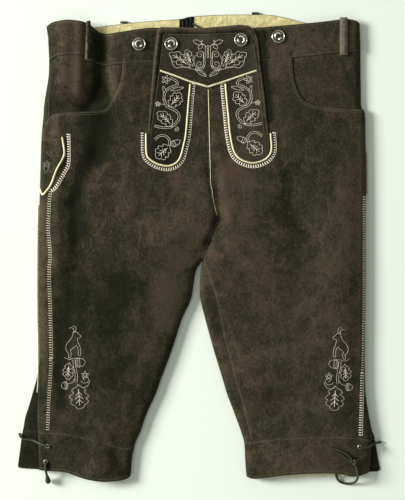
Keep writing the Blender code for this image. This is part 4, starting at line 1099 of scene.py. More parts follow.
# %% Which triangles each base piece has
middles = plan.middles
front = is_front(middles)
is_left = np.where(middles[:, 1] > crotch_y, left_of(centre_seam, middles), left_of(INNER_RIGHT, middles))
in_cuff = np.where(is_left, ~above(cuff_left, middles), ~above(cuff_right, middles))
in_band = above(waist_seam, middles)
in_mouth = {
    "left": inside(np.vstack([mouth_left, (-300, 205), (-300, 330)]), middles),
    "right": inside(np.vstack([mouth_right, (310, 232), (310, 340)]), middles),
}
in_turn = ~is_left & (middles[:, 1] < crotch_y) & left_of(inseam, middles) & ~in_cuff
base = {"back_right_turn": front & in_turn}
for side, here in (("left", is_left), ("right", ~is_left)):
    base[f"band_{side}"] = front & here & in_band
    base[f"cuff_{side}"] = front & here & in_cuff
    base[f"hip_{side}"] = front & here & ~in_band & in_mouth[side]
    base[f"front_{side}"] = front & here & ~in_band & ~in_cuff & ~in_mouth[side] & ~in_turn
clear = edge_distance(middles) > RING_DEPTHS[-1]
margin = {}
for side, mouth, facing in (("left", mouth_left, facings[0]), ("right", mouth_right, facings[1])):
    margin[side] = base[f"front_{side}"] & clear & inside(np.vstack([mouth, facing[::-1]]), middles)
print({name: int(chosen.sum()) for name, chosen in base.items()})

# %% [markdown]
# ## Rubbed and shaded places
# Worn suede is lighter at seams and at edges. The folds' ridges are painted lighter and their dips painted
# darker, as light and shade. A point's value comes from three things: how near a seam is, how the folds
# stand there, and a table of soft light and dark places read off the photo. That table is painted light and
# shade: lit slopes, dark valleys and creases, and the shadow beside the flap. A row of that table is like a
# fold's, with the change of tone in place of the height.

# %% Light and dark places
PAINTED_LIGHT_AND_SHADE = {
    "left hip": [
        Fold(-168, 396, -172, 252, 10.5, -2.3), Fold(-168, 262, -178, 240, 10, -1.2),
        Fold(-147, 380, -148, 350, 9, 0.5), Fold(-203, 392, -207, 300, 7, 0.7),
        Fold(-236, 312, -240, 262, 24, -0.45), Fold(-244, 264, -250, 236, 18, -0.8),
        Fold(-205, 262, -196, 246, 12, 1.0), Fold(-222, 300, -230, 262, 14, 0.7),
        Fold(-132, 272, -138, 256, 8, 0.9),
    ],
    "below the left pocket": [
        Fold(-178, 214, -181, 158, 24, -1.2), Fold(-167, 208, -170, 150, 9, -0.8),
        Fold(-190, 150, -213, 84, 14, -1.2), Fold(-238, 210, -236, 150, 9, 0.7),
    ],
    "left leg": [
        Fold(-213, 76, -208, 24, 15, -1.0), Fold(-206, 0, -226, -60, 18, -0.5),
        Fold(-226, -70, -230, -140, 9, -0.9), Fold(-206, -90, -212, -140, 16, -0.4),
        Fold(-232, -150, -234, -266, 9, -1.4), Fold(-134, -70, -136, -135, 22, -0.5),
        Fold(-200, 60, -200, -130, 22, -0.35), Fold(-140, -60, -150, -220, 34, -0.5),
        Fold(-264, 80, -265, -230, 7, 0.8), Fold(-246, -40, -210, -26, 7, 0.6),
        Fold(-30, 50, -88, -170, 24, 0.8), Fold(-40, -74, -52, -133, 14, 1.4),
        Fold(-92, -66, -92, -136, 14, -0.8), Fold(-272, -200, -274, -262, 6, -1.2),
        Fold(-262, -322, -262, -374, 9, -0.7),
    ],
    "crotch": [
        Fold(27, 98, 29, 54, 6, -1.3), Fold(-30, 118, 8, 70, 22, 0.8), Fold(-8, 26, -24, -16, 14, 0.8),
        Fold(14, 24, 26, -16, 8, 1.0), Fold(3, 26, 3, -16, 6, 0.7), Fold(42, 118, 52, 10, 14, 1.0),
        Fold(16, -76, 30, -136, 12, -0.8),
    ],
    "right leg": [
        Fold(148, 120, 156, -30, 22, -0.35), Fold(74, 22, 104, -22, 22, 0.6),
        Fold(64, -196, 92, -262, 26, 0.5), Fold(252, 130, 256, 40, 24, 0.7),
        Fold(277, 200, 277, -250, 8, 1.2), Fold(60, 130, 92, 76, 26, 0.6),
        Fold(130, -180, 240, -360, 60, 0.40), Fold(90, 60, 110, -120, 40, 0.15),
        Fold(220, 60, 200, -160, 50, 0.15),
    ],
    "right hip": [
        Fold(180, 280, 240, 268, 14, 0.5), Fold(140, 330, 240, 345, 26, 0.5),
        Fold(130, 290, 150, 180, 30, 0.4),
    ],
    # A painted shadow, cast by the flap's right edge on the front.
    "beside the flap": [Fold(107.5, 362, 110.5, 312, 5.6, -2.6), Fold(110.5, 312, 121, 214, 5.0, -2.6)],
}
# Painted shade in the left pocket's gape, and painted highlights on the hip piece's bulge beside the mouth.
POCKET_LIGHT_AND_SHADE = [
    Fold(-164, 250, -186, 238, 9, -2.6), Fold(-148, 290, -139, 262, 5, 1.6),
    Fold(-150, 320, -146, 290, 9, 0.5),
]
SEAM_RUB, SEAM_RUB_WIDTH, FOLD_WEAR_AND_SHADE = 0.35, 3.0, 0.22
edge_rub = np.zeros(len(xy))
for line in [*grooves, *open_edges]:
    edge_rub = np.maximum(edge_rub, nearness(distance_to(line, xy), SEAM_RUB_WIDTH))
# Fold ridges painted lighter and dips painted darker, then the table's painted light and shade on top.
fold_wear_and_shade = np.clip(FOLD_WEAR_AND_SHADE * (0.35 * large + small), -0.6, 0.7)
fold_wear_and_shade = fold_wear_and_shade + fold_height(xy, [tone for place in PAINTED_LIGHT_AND_SHADE.values() for tone in place])
wear_and_shade = SEAM_RUB * edge_rub + fold_wear_and_shade
print("rub from", round(wear_and_shade.min(), 2), "to", round(wear_and_shade.max(), 2), "by", len(PAINTED_LIGHT_AND_SHADE), "places")

# %% Base sheets
POCKET_SINK = Fold(-164, 266, -186, 240, 15, -8.5)
HIP_LIP = 0.9


def hip_faces(sink):
    """Outer and inner face of a hip piece, under the front and clear of the back."""
    hidden = np.maximum(under(WALL) - GAP, BACK_TOP + HIP_LIP)
    face = np.maximum(np.minimum(top - LAYER, hidden) + sink, BACK_TOP + HIP_LIP)
    return face, np.maximum(np.minimum(under(WALL) - LAYER, face - WALL), BACK_TOP)


cloth = {}
for name, chosen in base.items():
    piece_wear_and_shade = wear_and_shade
    if name == "hip_left":
        face, inner = hip_faces(fold_height(xy, [POCKET_SINK]))
        chosen, piece_wear_and_shade = chosen | margin["left"], fold_wear_and_shade + fold_height(xy, POCKET_LIGHT_AND_SHADE)
    elif name == "hip_right":
        face, inner = hip_faces(0.0)
        chosen, piece_wear_and_shade = chosen | margin["right"], fold_wear_and_shade
    else:
        face, inner = top, under(BAND_WALL if name.startswith(("band", "cuff")) else WALL)
    cloth[name] = sheet_from("suede_" + name, xy, plan.triangles[chosen], face, inner, SUEDE, piece_wear_and_shade)
    keep_piece(cloth[name], "suede", name)
    print(cloth[name].name, len(cloth[name].data.polygons), "faces")

# %% [markdown]
# ## The drop flap
# The flap buttons up over the front. Its border strip frames the embroidered bib, and two tongues
# hang below it on the thighs. All of it lies one layer above the front. The border is a folded
# strip, so it swells between its two edges. The knife pocket and the belt loops lie on the front
# in the same way, cut from the same plan of triangles.

# %% Flap and tongues
BORDER_RISE, BORDER_ROUND, BORDER_SINK = 2.9, 2.4, 0.6
FLAP_SEAM_SHADE, FLAP_SEAM_WIDTH = -1.5, 1.9
FLAP_TONES = [
    Fold(88, 352, 100, 230, 15, 1.1), Fold(84, 240, 96, 150, 24, 0.7), Fold(-30, 352, 40, 356, 12, 0.4),
    Fold(-66, 350, -62, 310, 8, 0.4), Fold(-72, 205, -60, 150, 15, -0.7),
]
in_outer, in_inner = inside(flap_outer, middles), inside(flap_inner, middles)
over_edge = above(bib_edge, middles)
outer_reach, inner_reach = distance_to_outline(flap_outer, xy), distance_to_outline(flap_inner, xy)
edge_reach = np.minimum(outer_reach, inner_reach)
lifted = top + groove + LAYER
border_face = lifted - BORDER_SINK + BORDER_RISE * (1.0 - nearness(edge_reach, BORDER_ROUND))
# Painted shade in the small valley along the border's seam with the bib.
seam_shade = FLAP_SEAM_SHADE * nearness(inner_reach, FLAP_SEAM_WIDTH)
# The flap carries the folds' painted light and shade, and its own lighter and darker places.
flap_wear_and_shade = fold_wear_and_shade + fold_height(xy, FLAP_TONES)
border_wear_and_shade = flap_wear_and_shade + 0.5 + 1.0 * nearness(outer_reach, 2.2) + seam_shade
flap = {
    "flap_border": (in_outer & ~in_inner, border_face, SUEDE, border_wear_and_shade),
    "flap_bib": (in_inner & over_edge, lifted, BIB_SUEDE, flap_wear_and_shade + seam_shade),
}
for side, finish in (("left", LEFT_SUEDE), ("right", BIB_SUEDE)):
    edge = tongue_inner(side)
    below = inside(edge, middles) & (middles[:, 1] < FLAP_INNER[0][1])
    own_side = edge[: len(edge) // 2]
    beyond = left_of(own_side, middles) if side == "left" else ~left_of(own_side, middles)
    half = middles[:, 0] < BIB_EDGE[4][0] if side == "left" else middles[:, 0] > BIB_EDGE[4][0]
    upper = in_inner & ~over_edge & (middles[:, 1] > FLAP_INNER[0][1]) & beyond & half
    flap[f"tongue_{side}"] = (below | upper, lifted, finish, flap_wear_and_shade)
for name, (chosen, face, finish, piece_wear_and_shade) in flap.items():
    low = top + groove + GAP
    cloth[name] = sheet_from("suede_" + name, xy, plan.triangles[chosen], face, low, finish, piece_wear_and_shade)
    keep_piece(cloth[name], "suede" if finish is SUEDE else "flap_suede", name)
print("flap pieces:", ", ".join(flap))

# %% Knife pocket and belt loops
POCKET_ROUND, POCKET_DROP = 1.6, 0.55
LOOP_FOOT, LOOP_ROUND, LOOP_RISE = 0.9, 2.6, {"left": 4.6, "right": 3.0}
LOOP_FINISH = {"left": DULL_LOOP_SUEDE, "right": LOOP_SUEDE}


def twisted_loop_light_and_shade(corners):
    """The left loop stands on edge: a painted highlight on its left edge and its foot, painted shade on the
    rest.
    """
    left_edge, foot = np.array([corners[0], corners[3]]), np.array(corners[:2])
    light_edge = 2.6 * nearness(distance_to(left_edge, xy), LOOP_ROUND)
    light_foot = 2.0 * nearness(distance_to(foot, xy), LOOP_ROUND)
    return light_edge + light_foot - 1.2


knife = knife_outline()
drop = POCKET_DROP * np.clip(1.0 - distance_to_outline(knife, xy) / POCKET_ROUND, 0.0, 1.0) ** 2
cloth["knife_pocket"] = sheet_from(
    "suede_knife_pocket", xy, plan.triangles[inside(knife, middles)], top + LAYER - drop, top + GAP, SUEDE,
    fold_wear_and_shade,
)
keep_piece(cloth["knife_pocket"], "suede", "knife_pocket")
for side, corners in FRONT_LOOPS.items():
    name, outline = f"loop_front_{side}", loop_outline(side)
    rounded = 1.0 - nearness(distance_to_outline(outline, xy), LOOP_ROUND)
    face = top + GAP + LOOP_FOOT + LOOP_RISE[side] * rounded
    piece_wear_and_shade = twisted_loop_light_and_shade(corners) if side == "left" else 0.8 + np.maximum(fold_wear_and_shade, -0.4)
    chosen = plan.triangles[inside(outline, middles)]
    cloth[name] = sheet_from("suede_" + name, xy, chosen, face, top + GAP, LOOP_FINISH[side], piece_wear_and_shade)
    keep_piece(cloth[name], "suede", name)
print("knife pocket and", len(FRONT_LOOPS), "belt loops, the left one", LOOP_RISE["left"], "mm high")

# %% [markdown]
# ## The back
# The back lies flat on the table under everything. It shows at the slits beside both knees, where
# its cuff stands out past the front, and along the waist, where its band and the cream lining
# stand above the front. It is made from flat sheets with the same outlines.

# %% Back panels and cuffs
SLIT_LEFT = [
    (-273.6, -205), (-277.5, -227), (-283.5, -249), (-289.8, -271), (-296, -290), (-299.5, -309),
    (-302.6, -325), (-305, -345), (-308.9, -374), (-308, -377), (-300.5, -378.4), (-268, -380.4),
]
SLIT_RIGHT = [
    (284.2, -252), (289, -286), (294.6, -312), (299.6, -326), (303.4, -349), (306.6, -368),
    (309.2, -382.4), (303, -384), (284, -384.6),
]
BACK_WAIST_X = (-255.5, 275.4)
slit = {"left": smooth_line(SLIT_LEFT, SEAM_STEP), "right": smooth_line(SLIT_RIGHT, SEAM_STEP)}
centre_back = stretch(centre_seam, 1, -23.0, 313.0)
middle_x = CENTRE_SEAM[1][0]
seam = {"left": stretch(cuff_left, 0, -300.9, -110.0), "right": stretch(cuff_right, 0, 77.6, 299.6)}
HEM_SET_BACK = 0.8
lower = {
    "left": stretch(hem_left, 0, -264.0, -118.5) + (0, HEM_SET_BACK),
    "right": stretch(hem_right, 0, 82.5, 280.0) + (0, HEM_SET_BACK),
}
back_outlines = {
    "back_left": np.vstack([
        stretch(waist_seam, 0, BACK_WAIST_X[0], middle_x), centre_back[::-1][1:-1],
        stretch(INNER_LEFT, 1, -336.0, -23.0)[::-1], seam["left"][::-1][1:-1],
        stretch(slit["left"], 1, -315.3, -206.0), stretch(OUTER_LEFT, 1, -200.0, 314.0)[:-1],
    ]),
    "back_right": np.vstack([
        stretch(waist_seam, 0, middle_x, BACK_WAIST_X[1]), stretch(OUTER_RIGHT, 1, -248.0, 330.0)[::-1][1:],
        stretch(slit["right"], 1, -328.5, -253.0)[::-1], seam["right"][::-1][1:-1],
        stretch(INNER_RIGHT, 1, -331.0, -23.0), centre_back[1:-1],
    ]),
    "cuff_back_left": np.vstack([
        seam["left"], stretch(INNER_LEFT, 1, -385.0, -341.0)[::-1], lower["left"][::-1],
        stretch(slit["left"], 1, -380.4, -315.4),
    ]),
    "cuff_back_right": np.vstack([
        seam["right"], stretch(slit["right"], 1, -384.6, -331.0)[::-1], lower["right"][::-1],
        stretch(INNER_RIGHT, 1, -386.0, -336.0),
    ]),
}
# The back's panels and cuffs take the darker suede, as painted shade.
for name, outline in back_outlines.items():
    cloth[name] = plate("suede_" + name, outline, 0.0, WALL, SHADED_BACK_SUEDE)
    keep_piece(cloth[name], "suede", name)
HEM_LINING = [(132.6, -393.4), (246.5, -393.0), (246.5, -368.0), (132.6, -368.0)]
strip = even_steps([*HEM_LINING, HEM_LINING[0]], 4.0)[:-1]
# The strip under the right hem takes the lighter lining cloth, as painted light.
cloth["cuff_lining_right"] = plate("cloth_cuff_lining", strip, BACK_TOP, BACK_TOP + LINING_WALL, LIGHTENED_LINING)
keep_piece(cloth["cuff_lining_right"], "lining", "cuff_lining_right")
print("back:", ", ".join(back_outlines))

# %% Back band, lining, gusset
BACK_BAND_TOP = [
    (-262, 352), (-230, 364), (-178.5, 373.6), (-151, 377), (-126, 380.4), (-83, 384.4), (-32.6, 388),
    (-22, 390.6), (-10.4, 392.4), (27, 394.8), (87, 395.8), (121, 394.9), (146, 390.6), (172, 384),
    (205, 377), (240, 370), (277, 360),
]
BAND_BACK_TOP_X = (-257.5, 274.5)
GUSSET_TOP, GUSSET_FOOT, GUSSET_FOOT_Y = (-32.6, -8.4), (-22.0, -16.0), 330.0
LINING_REACH, LINING_DEPTH, LINING_SET_BACK = 186.0, 48.0, 1.0
band_top = smooth_line(BACK_BAND_TOP, SEAM_STEP)
foot_middle = sum(GUSSET_FOOT) / 2
left_top = stretch(band_top, 0, BAND_BACK_TOP_X[0], GUSSET_TOP[0])
right_top = stretch(band_top, 0, GUSSET_TOP[1], BAND_BACK_TOP_X[1])
band_outlines = {
    "band_back_left": np.vstack([
        stretch(waist_seam, 0, BACK_WAIST_X[0], foot_middle),
        [(GUSSET_FOOT[0], GUSSET_FOOT_Y)], left_top[::-1],
    ]),
    "band_back_right": np.vstack([
        stretch(waist_seam, 0, foot_middle, BACK_WAIST_X[1]),
        right_top[::-1], [(GUSSET_FOOT[1], GUSSET_FOOT_Y)],
    ]),
}
for name, outline in band_outlines.items():
    cloth[name] = plate("suede_" + name, outline, 0.0, WALL, SUEDE)
    keep_piece(cloth[name], "suede", name)
for side, way, line in (("left", -1.0, left_top), ("right", 1.0, right_top)):
    shown = line[np.abs(line[:, 0]) < LINING_REACH] - (0, LINING_SET_BACK)
    outline = np.vstack([shown, (shown - (0, LINING_DEPTH))[::-1]])
    outline[:, 0] += way * (np.abs(outline[:, 0]) < LINING_REACH / 3)
    name = f"lining_{side}"
    cloth[name] = plate("cloth_" + name, outline, BACK_TOP, BACK_TOP + LINING_WALL, LINING, 6.0)
    keep_piece(cloth[name], "lining", name)
for side, (x1, x2, y1, y2) in BACK_LOOP_TIPS.items():
    name = f"loop_back_{side}"
    tip = even_steps([(x1, y1), (x2, y1), (x2, y2), (x1, y2), (x1, y1)], 1.5)[:-1]
    keep_piece(plate("suede_" + name, tip, 0.0, LOOP_TIP_HEIGHT, SUEDE, 2.0), "suede", name)
print("back band, lining and the tips of", len(BACK_LOOP_TIPS), "loops")

# %% [markdown]
# ## The gusset
# The middle of the back band is open and closed again by a piece of thin dark leather, which a
# lace draws together. Only its upper end shows, gathered into ribs. Its ribs are a cosine wave
# over the width, which narrows towards the foot, so the triangles follow the ribs' own lines.

# %% Gusset in ribs
GUSSET_RIBS, RIB_RISE, LINES_A_RIB = 3, 1.6, 12
gathers = Plan()
sides = []
for share in np.linspace(0.0, 1.0, LINES_A_RIB * GUSSET_RIBS + 1):
    x_top = GUSSET_TOP[0] + share * (GUSSET_TOP[1] - GUSSET_TOP[0])
    x_foot = GUSSET_FOOT[0] + share * (GUSSET_FOOT[1] - GUSSET_FOOT[0])
    sides.append([(x_foot, GUSSET_FOOT_Y), (x_top, float(np.interp(x_top, band_top[:, 0], band_top[:, 1])))])
    gathers.add_line(even_steps(sides[-1], 4.0))
gathers.add_line([s[0] for s in sides])
gathers.add_line([s[1] for s in sides])
gathers.triangulate()
outline = np.array([sides[0][0], sides[-1][0]] + [s[1] for s in sides[::-1]])
reach = (gathers.xy[:, 1] - GUSSET_FOOT_Y) / (band_top[:, 1].max() - GUSSET_FOOT_Y)
low_x = GUSSET_FOOT[0] + reach * (GUSSET_TOP[0] - GUSSET_FOOT[0])
high_x = GUSSET_FOOT[1] + reach * (GUSSET_TOP[1] - GUSSET_FOOT[1])
share = (gathers.xy[:, 0] - low_x) / np.maximum(high_x - low_x, 1e-6)
ribs = WALL + RIB_RISE * (0.5 - 0.5 * np.cos(2 * math.pi * GUSSET_RIBS * share))
chosen = gathers.triangles[inside(outline, gathers.middles)]
cloth["gusset_back"] = sheet_from(
    "leather_gusset", gathers.xy, chosen, ribs, np.zeros(len(ribs)), DARK_LEATHER_AND_HOLE_SHADE
)
keep_piece(cloth["gusset_back"], "gusset", "gusset_back")
print("gusset with", GUSSET_RIBS, "ribs;", len(cloth), "sheets in all")

# %% [markdown]
# ## Piping
# Thin cream piping runs round the bib's lower edge and round both tongues, down the centre seam
# and along the knife pocket. It is a folded strip sewn into the seam, so it is a low half-round
# bead with a slight ripple from the stitches that hold it. Round piping in the side seams shows
# just outside the front's edge.

# %% Beads along the seams
PIPING_RIPPLE, RIPPLE_PITCH = 0.05, 3.6
ground_tree = BVHTree.FromPolygons(
    [(*p, z) for p, z in zip(xy, top)], [tuple(int(v) for v in t) for t in plan.triangles[front]]
)


def ground_height(spots):
    """Height of the front's outer face at places in the plan, from its own facets."""
    found = []
    for x, y in spots:
        hit = ground_tree.ray_cast(Vector((x, y, 80.0)), Vector((0, 0, -1)))[0]
        found.append(hit.z if hit else np.nan)
    found = np.array(found)
    bad = np.isnan(found)
    if bad.any():
        found[bad] = np.interp(np.flatnonzero(bad), np.flatnonzero(~bad), found[~bad])
    return found


def bead(name, line, width, rise, finish, taper=(2.0, 2.0)):
    """A half-round bead on the front. taper is how far its two ends take to swell to full size."""
    line = even_steps(line, 0.9)
    run = np.concatenate([[0.0], np.cumsum(np.linalg.norm(np.diff(line, axis=0), axis=1))])
    ends = np.minimum(run / max(taper[0], 0.1), (run[-1] - run) / max(taper[1], 0.1))
    ripple = 1 + PIPING_RIPPLE * np.cos(2 * math.pi * run / RIPPLE_PITCH)
    swell = np.sqrt(np.clip(ends, 0.12, 1.0)) * ripple
    base = ground_height(line)
    across = normals(line)
    turns = np.linspace(0.0, math.pi, 9)
    corners, faces = [], []
    for k, (spot, way, size, low) in enumerate(zip(line, across, swell, base)):
        for turn in turns:
            side = 0.5 * width * size * math.cos(turn)
            corners.append((*(spot + way * side), low + 0.25 + rise * size * math.sin(turn) ** 0.8))
        if k:
            first, last = (k - 1) * len(turns), k * len(turns)
            faces += [(first + i, first + i + 1, last + i + 1, last + i) for i in range(len(turns) - 1)]
            faces.append((first + len(turns) - 1, first, last, last + len(turns) - 1))
    faces.append(tuple(range(len(turns)))[::-1])
    faces.append(tuple(range(len(corners) - len(turns), len(corners))))
    return add_object(name, corners, faces, finish, ROUND_ANGLE)


Piped = namedtuple("Piped", "line width rise taper")
piped = {
    "piping_bib": Piped(stretch(bib_edge, 0, *BIB_PIPING_X), 3.4, 3.4, (1.5, 1.5)),
    "piping_tongue_left": Piped(tongues["left"], 3.3, 2.6, (0.2, 1.5)),
    "piping_tongue_right": Piped(tongues["right"], 3.3, 2.6, (0.2, 1.5)),
    "piping_centre": Piped(stretch(centre_seam, 1, *CENTRE_PIPING_Y)[::-1], 1.25, 0.9, (0.2, 150.0)),
    "piping_knife_pocket": Piped(np.vstack([knife_piping, KNIFE_TURN]), 3.4, 2.6, (1.5, 1.0)),
}
for name, (line, width, rise, taper) in piped.items():
    keep_piece(bead("leather_" + name, line, width, rise, PIPING, taper), "piping", name)
print("piping made on", len(piped), "seams")

# %% Round piping in the side seams
SIDE_PIPING_RADIUS = 1.3
for side, line, way, low, high in (
    ("left", OUTER_LEFT, -1, -249.0, 70.0), ("right", OUTER_RIGHT, 1, 90.0, 160.0)
):
    path = even_steps(stretch(line, 1, low, high) + (way * (SIDE_PIPING_RADIUS + GAP), 0), 2.0)
    route = np.column_stack([path, np.full(len(path), BACK_TOP + SIDE_PIPING_RADIUS)])
    wave = SIDE_PIPING_RADIUS * (1 + 0.08 * np.sin(np.arange(len(path)) * 2.1))
    name = f"piping_side_{side}"
    keep_piece(round_bar("leather_" + name, route, wave, SIDE_PIPING, 8), "piping", name)
    print(name, "from", low, "to", high, "mm up the side")

# %% [markdown]
# ## Buttons and eyelets
# The four buttons are old silver: a worn rim round a dark dish, in which two curved leaves lie round a small
# horn flower. In the photo they are only a few bright and dark specks, so the leaves and the flower are a
# plain design of their own. The eyelets are metal rings pressed into the cuffs, each with a dark disc inside
# as painted shade for its hole. The lower right eyelet is in dark metal as a painted shadow of the knot
# beside it. A button is seated on a plane fitted to the cloth below it, and then lifted until no point of
# the cloth comes through.

# %% Silver buttons
BUTTONS = [(-101.5, 343.4, False), (-47.0, 343.6, True), (71.2, 350.4, True), (134.8, 356.1, False)]
BUTTON_RADIUS = 11.3
RIM = [
    (0.0, 0.0), (10.6, 0.0), (11.2, 0.5), (11.3, 1.2), (11.1, 2.0), (10.6, 2.5), (9.9, 2.6), (9.3, 2.2),
    (9.0, 1.5), (8.8, 1.2), (0.0, 1.2),
]
DISH = [(0.0, 1.15), (8.9, 1.15), (8.8, 1.5), (7.6, 1.7), (5.0, 1.9), (2.0, 2.0), (0.0, 2.0)]
LEAF_BAR = 1.8
LEAF_TURNS = (0.6, 5.4, 4.7, 0.2)
PETAL_REACH, PETAL_EDGE = 3.6, 0.5


def seat(x, y, radius, lift):
    """Place and tilt of a round piece on the cloth."""
    turn = np.linspace(0, 2 * math.pi, 24, endpoint=False)
    spots = [[(x, y)]]
    for r in (radius, 0.6 * radius):
        spots.append(np.column_stack([x + r * np.cos(turn), y + r * np.sin(turn)]))
    spots = np.vstack(spots)
    heights = ground_height(spots)
    flat = np.column_stack([spots, np.ones(len(spots))])
    fit = np.linalg.lstsq(flat, heights, rcond=None)[0]
    plane = flat @ fit
    up = Vector((-fit[0], -fit[1], 1.0)).normalized()
    return Vector((x, y, fit[0] * x + fit[1] * y + fit[2] + (heights - plane).max() + lift)), up


def petal_relief(name, place, up, turn):
    """A raised flower of five petals with a round middle."""
    tilt = Vector((0, 0, 1)).rotation_difference(up).to_matrix()
    corners, faces, rings, segments = [], [], 5, 40
    for ring in range(rings + 1):
        share = ring / rings
        for k in range(segments):
            angle = 2 * math.pi * k / segments
            reach = PETAL_REACH * (0.58 + 0.42 * abs(math.cos(2.5 * (angle + turn)))) * share
            height = 2.1 + 0.8 * math.sin(math.pi * min(share + 0.08, 1.0)) ** 0.7 * (1.0 - 0.3 * share)
            height += 0.4 * max(0.0, 1.0 - share / 0.3)
            if ring == rings:
                height -= PETAL_EDGE
            corners.append(place + tilt @ Vector((reach * math.cos(angle), reach * math.sin(angle), height)))
        if ring:
            first, last = (ring - 1) * segments, ring * segments
            for k in range(segments):
                n = (k + 1) % segments
                faces.append((first + k, last + k, last + n, first + n))
    return add_object(name, corners, faces, HORN, ROUND_ANGLE)


def leaf_pair(name, place, up, turn):
    """Two curved leaves round the middle: a long one and a short one, thick in their middles."""
    tilt = Vector((0, 0, 1)).rotation_difference(up).to_matrix()
    made = []
    for label, start, end, reach in (("long", 0.4, 3.7, 5.6), ("short", 4.4, 5.8, 4.8)):
        angles = np.linspace(turn + start, turn + end, 31)
        share = np.linspace(0.0, 1.0, 31)
        line = []
        for angle, t in zip(angles, share):
            height = 2.2 + 0.5 * math.sin(math.pi * t)
            line.append(place + tilt @ Vector((reach * math.cos(angle), reach * math.sin(angle), height)))
        thick = LEAF_BAR * (0.25 + 0.75 * np.sin(math.pi * share) ** 0.7)
        made.append(round_bar(f"{name}_{label}", np.array(line), thick, SILVER, 10))
    return made


for number, (x, y, on_flap) in enumerate(BUTTONS, 1):
    place, up = seat(x, y, BUTTON_RADIUS, GAP + (LAYER if on_flap else 0.0))
    rim = turned(f"button_rim_{number}", RIM, 48, place, up, RIM_SILVER)
    dish = turned(f"button_dish_{number}", DISH, 40, place, up, TARNISH_AND_SHADOW)
    leaves = leaf_pair(f"button_leaf_{number}", place, up, LEAF_TURNS[number - 1])
    flower = petal_relief(f"button_flower_{number}", place, up, 0.7 * number)
    keep_piece(rim, "button", f"button_{number}")
    for part in (dish, flower, *leaves):
        keep_piece(part, "button")
    print(f"button {number} at {x}, {y} mm, tilted {math.degrees(up.angle(Vector((0, 0, 1)))):.1f} degrees")

# %% Eyelets pressed into the cuffs
EYELETS = {
    "left_upper": (-256.6, -338.9), "left_lower": (-260.2, -365.4),
    "right_upper": (272.8, -339.8), "right_lower": (272.8, -363.6),
}
EYELET_RADIUS = 3.7
EYELET_RING = [
    (2.3, -0.3), (3.55, -0.3), (3.7, 0.1), (3.5, 0.6), (3.05, 0.85), (2.6, 0.75), (2.3, 0.3), (2.3, -0.3),
]
EYELET_HOLE = [(0.0, -0.35), (2.4, -0.35), (2.4, -0.1), (0.0, -0.1)]
for name, (x, y) in EYELETS.items():
    place, up = seat(x, y, EYELET_RADIUS, GAP)
    # The lower right eyelet is in the dark metal: painted shadow of the knot beside it.
    metal = TARNISH_AND_SHADOW if name == "right_lower" else EYELET_METAL
    ring = turned(f"metal_eyelet_{name}", EYELET_RING, 28, place, up, metal)
    keep_piece(ring, "eyelet", f"eyelet_{name}")
    # A dark disc in each ring: painted shade for the eyelet's hole.
    keep_piece(turned(f"dark_eyelet_{name}", EYELET_HOLE, 20, place, up, DARK_LEATHER_AND_HOLE_SHADE), "eyelet")
print(len(EYELETS), "eyelets seated")

# %% [markdown]
# ## Sewing
# All stitches are made in one way: a Geometry Nodes tree walks along a line at even steps, drops
# each step onto the cloth below, and puts a spindle of thread there, turned along the stitch. A
# stitch that reaches across its line is a tooth. A row of teeth and a row of small stitches along
# their middle make the trims beside the side seams and the piping.

# %% The stitch tree
STITCH_INPUTS = {
    "Lines": "Geometry", "Cloth": "Object", "Spacing": "Float", "Along": "Float", "Across": "Float",
    "Thread": "Float", "Lift": "Float", "Finish": "Material",
}
FLATNESS, FALL_FROM, FALL = 0.85, 0.05, 0.1


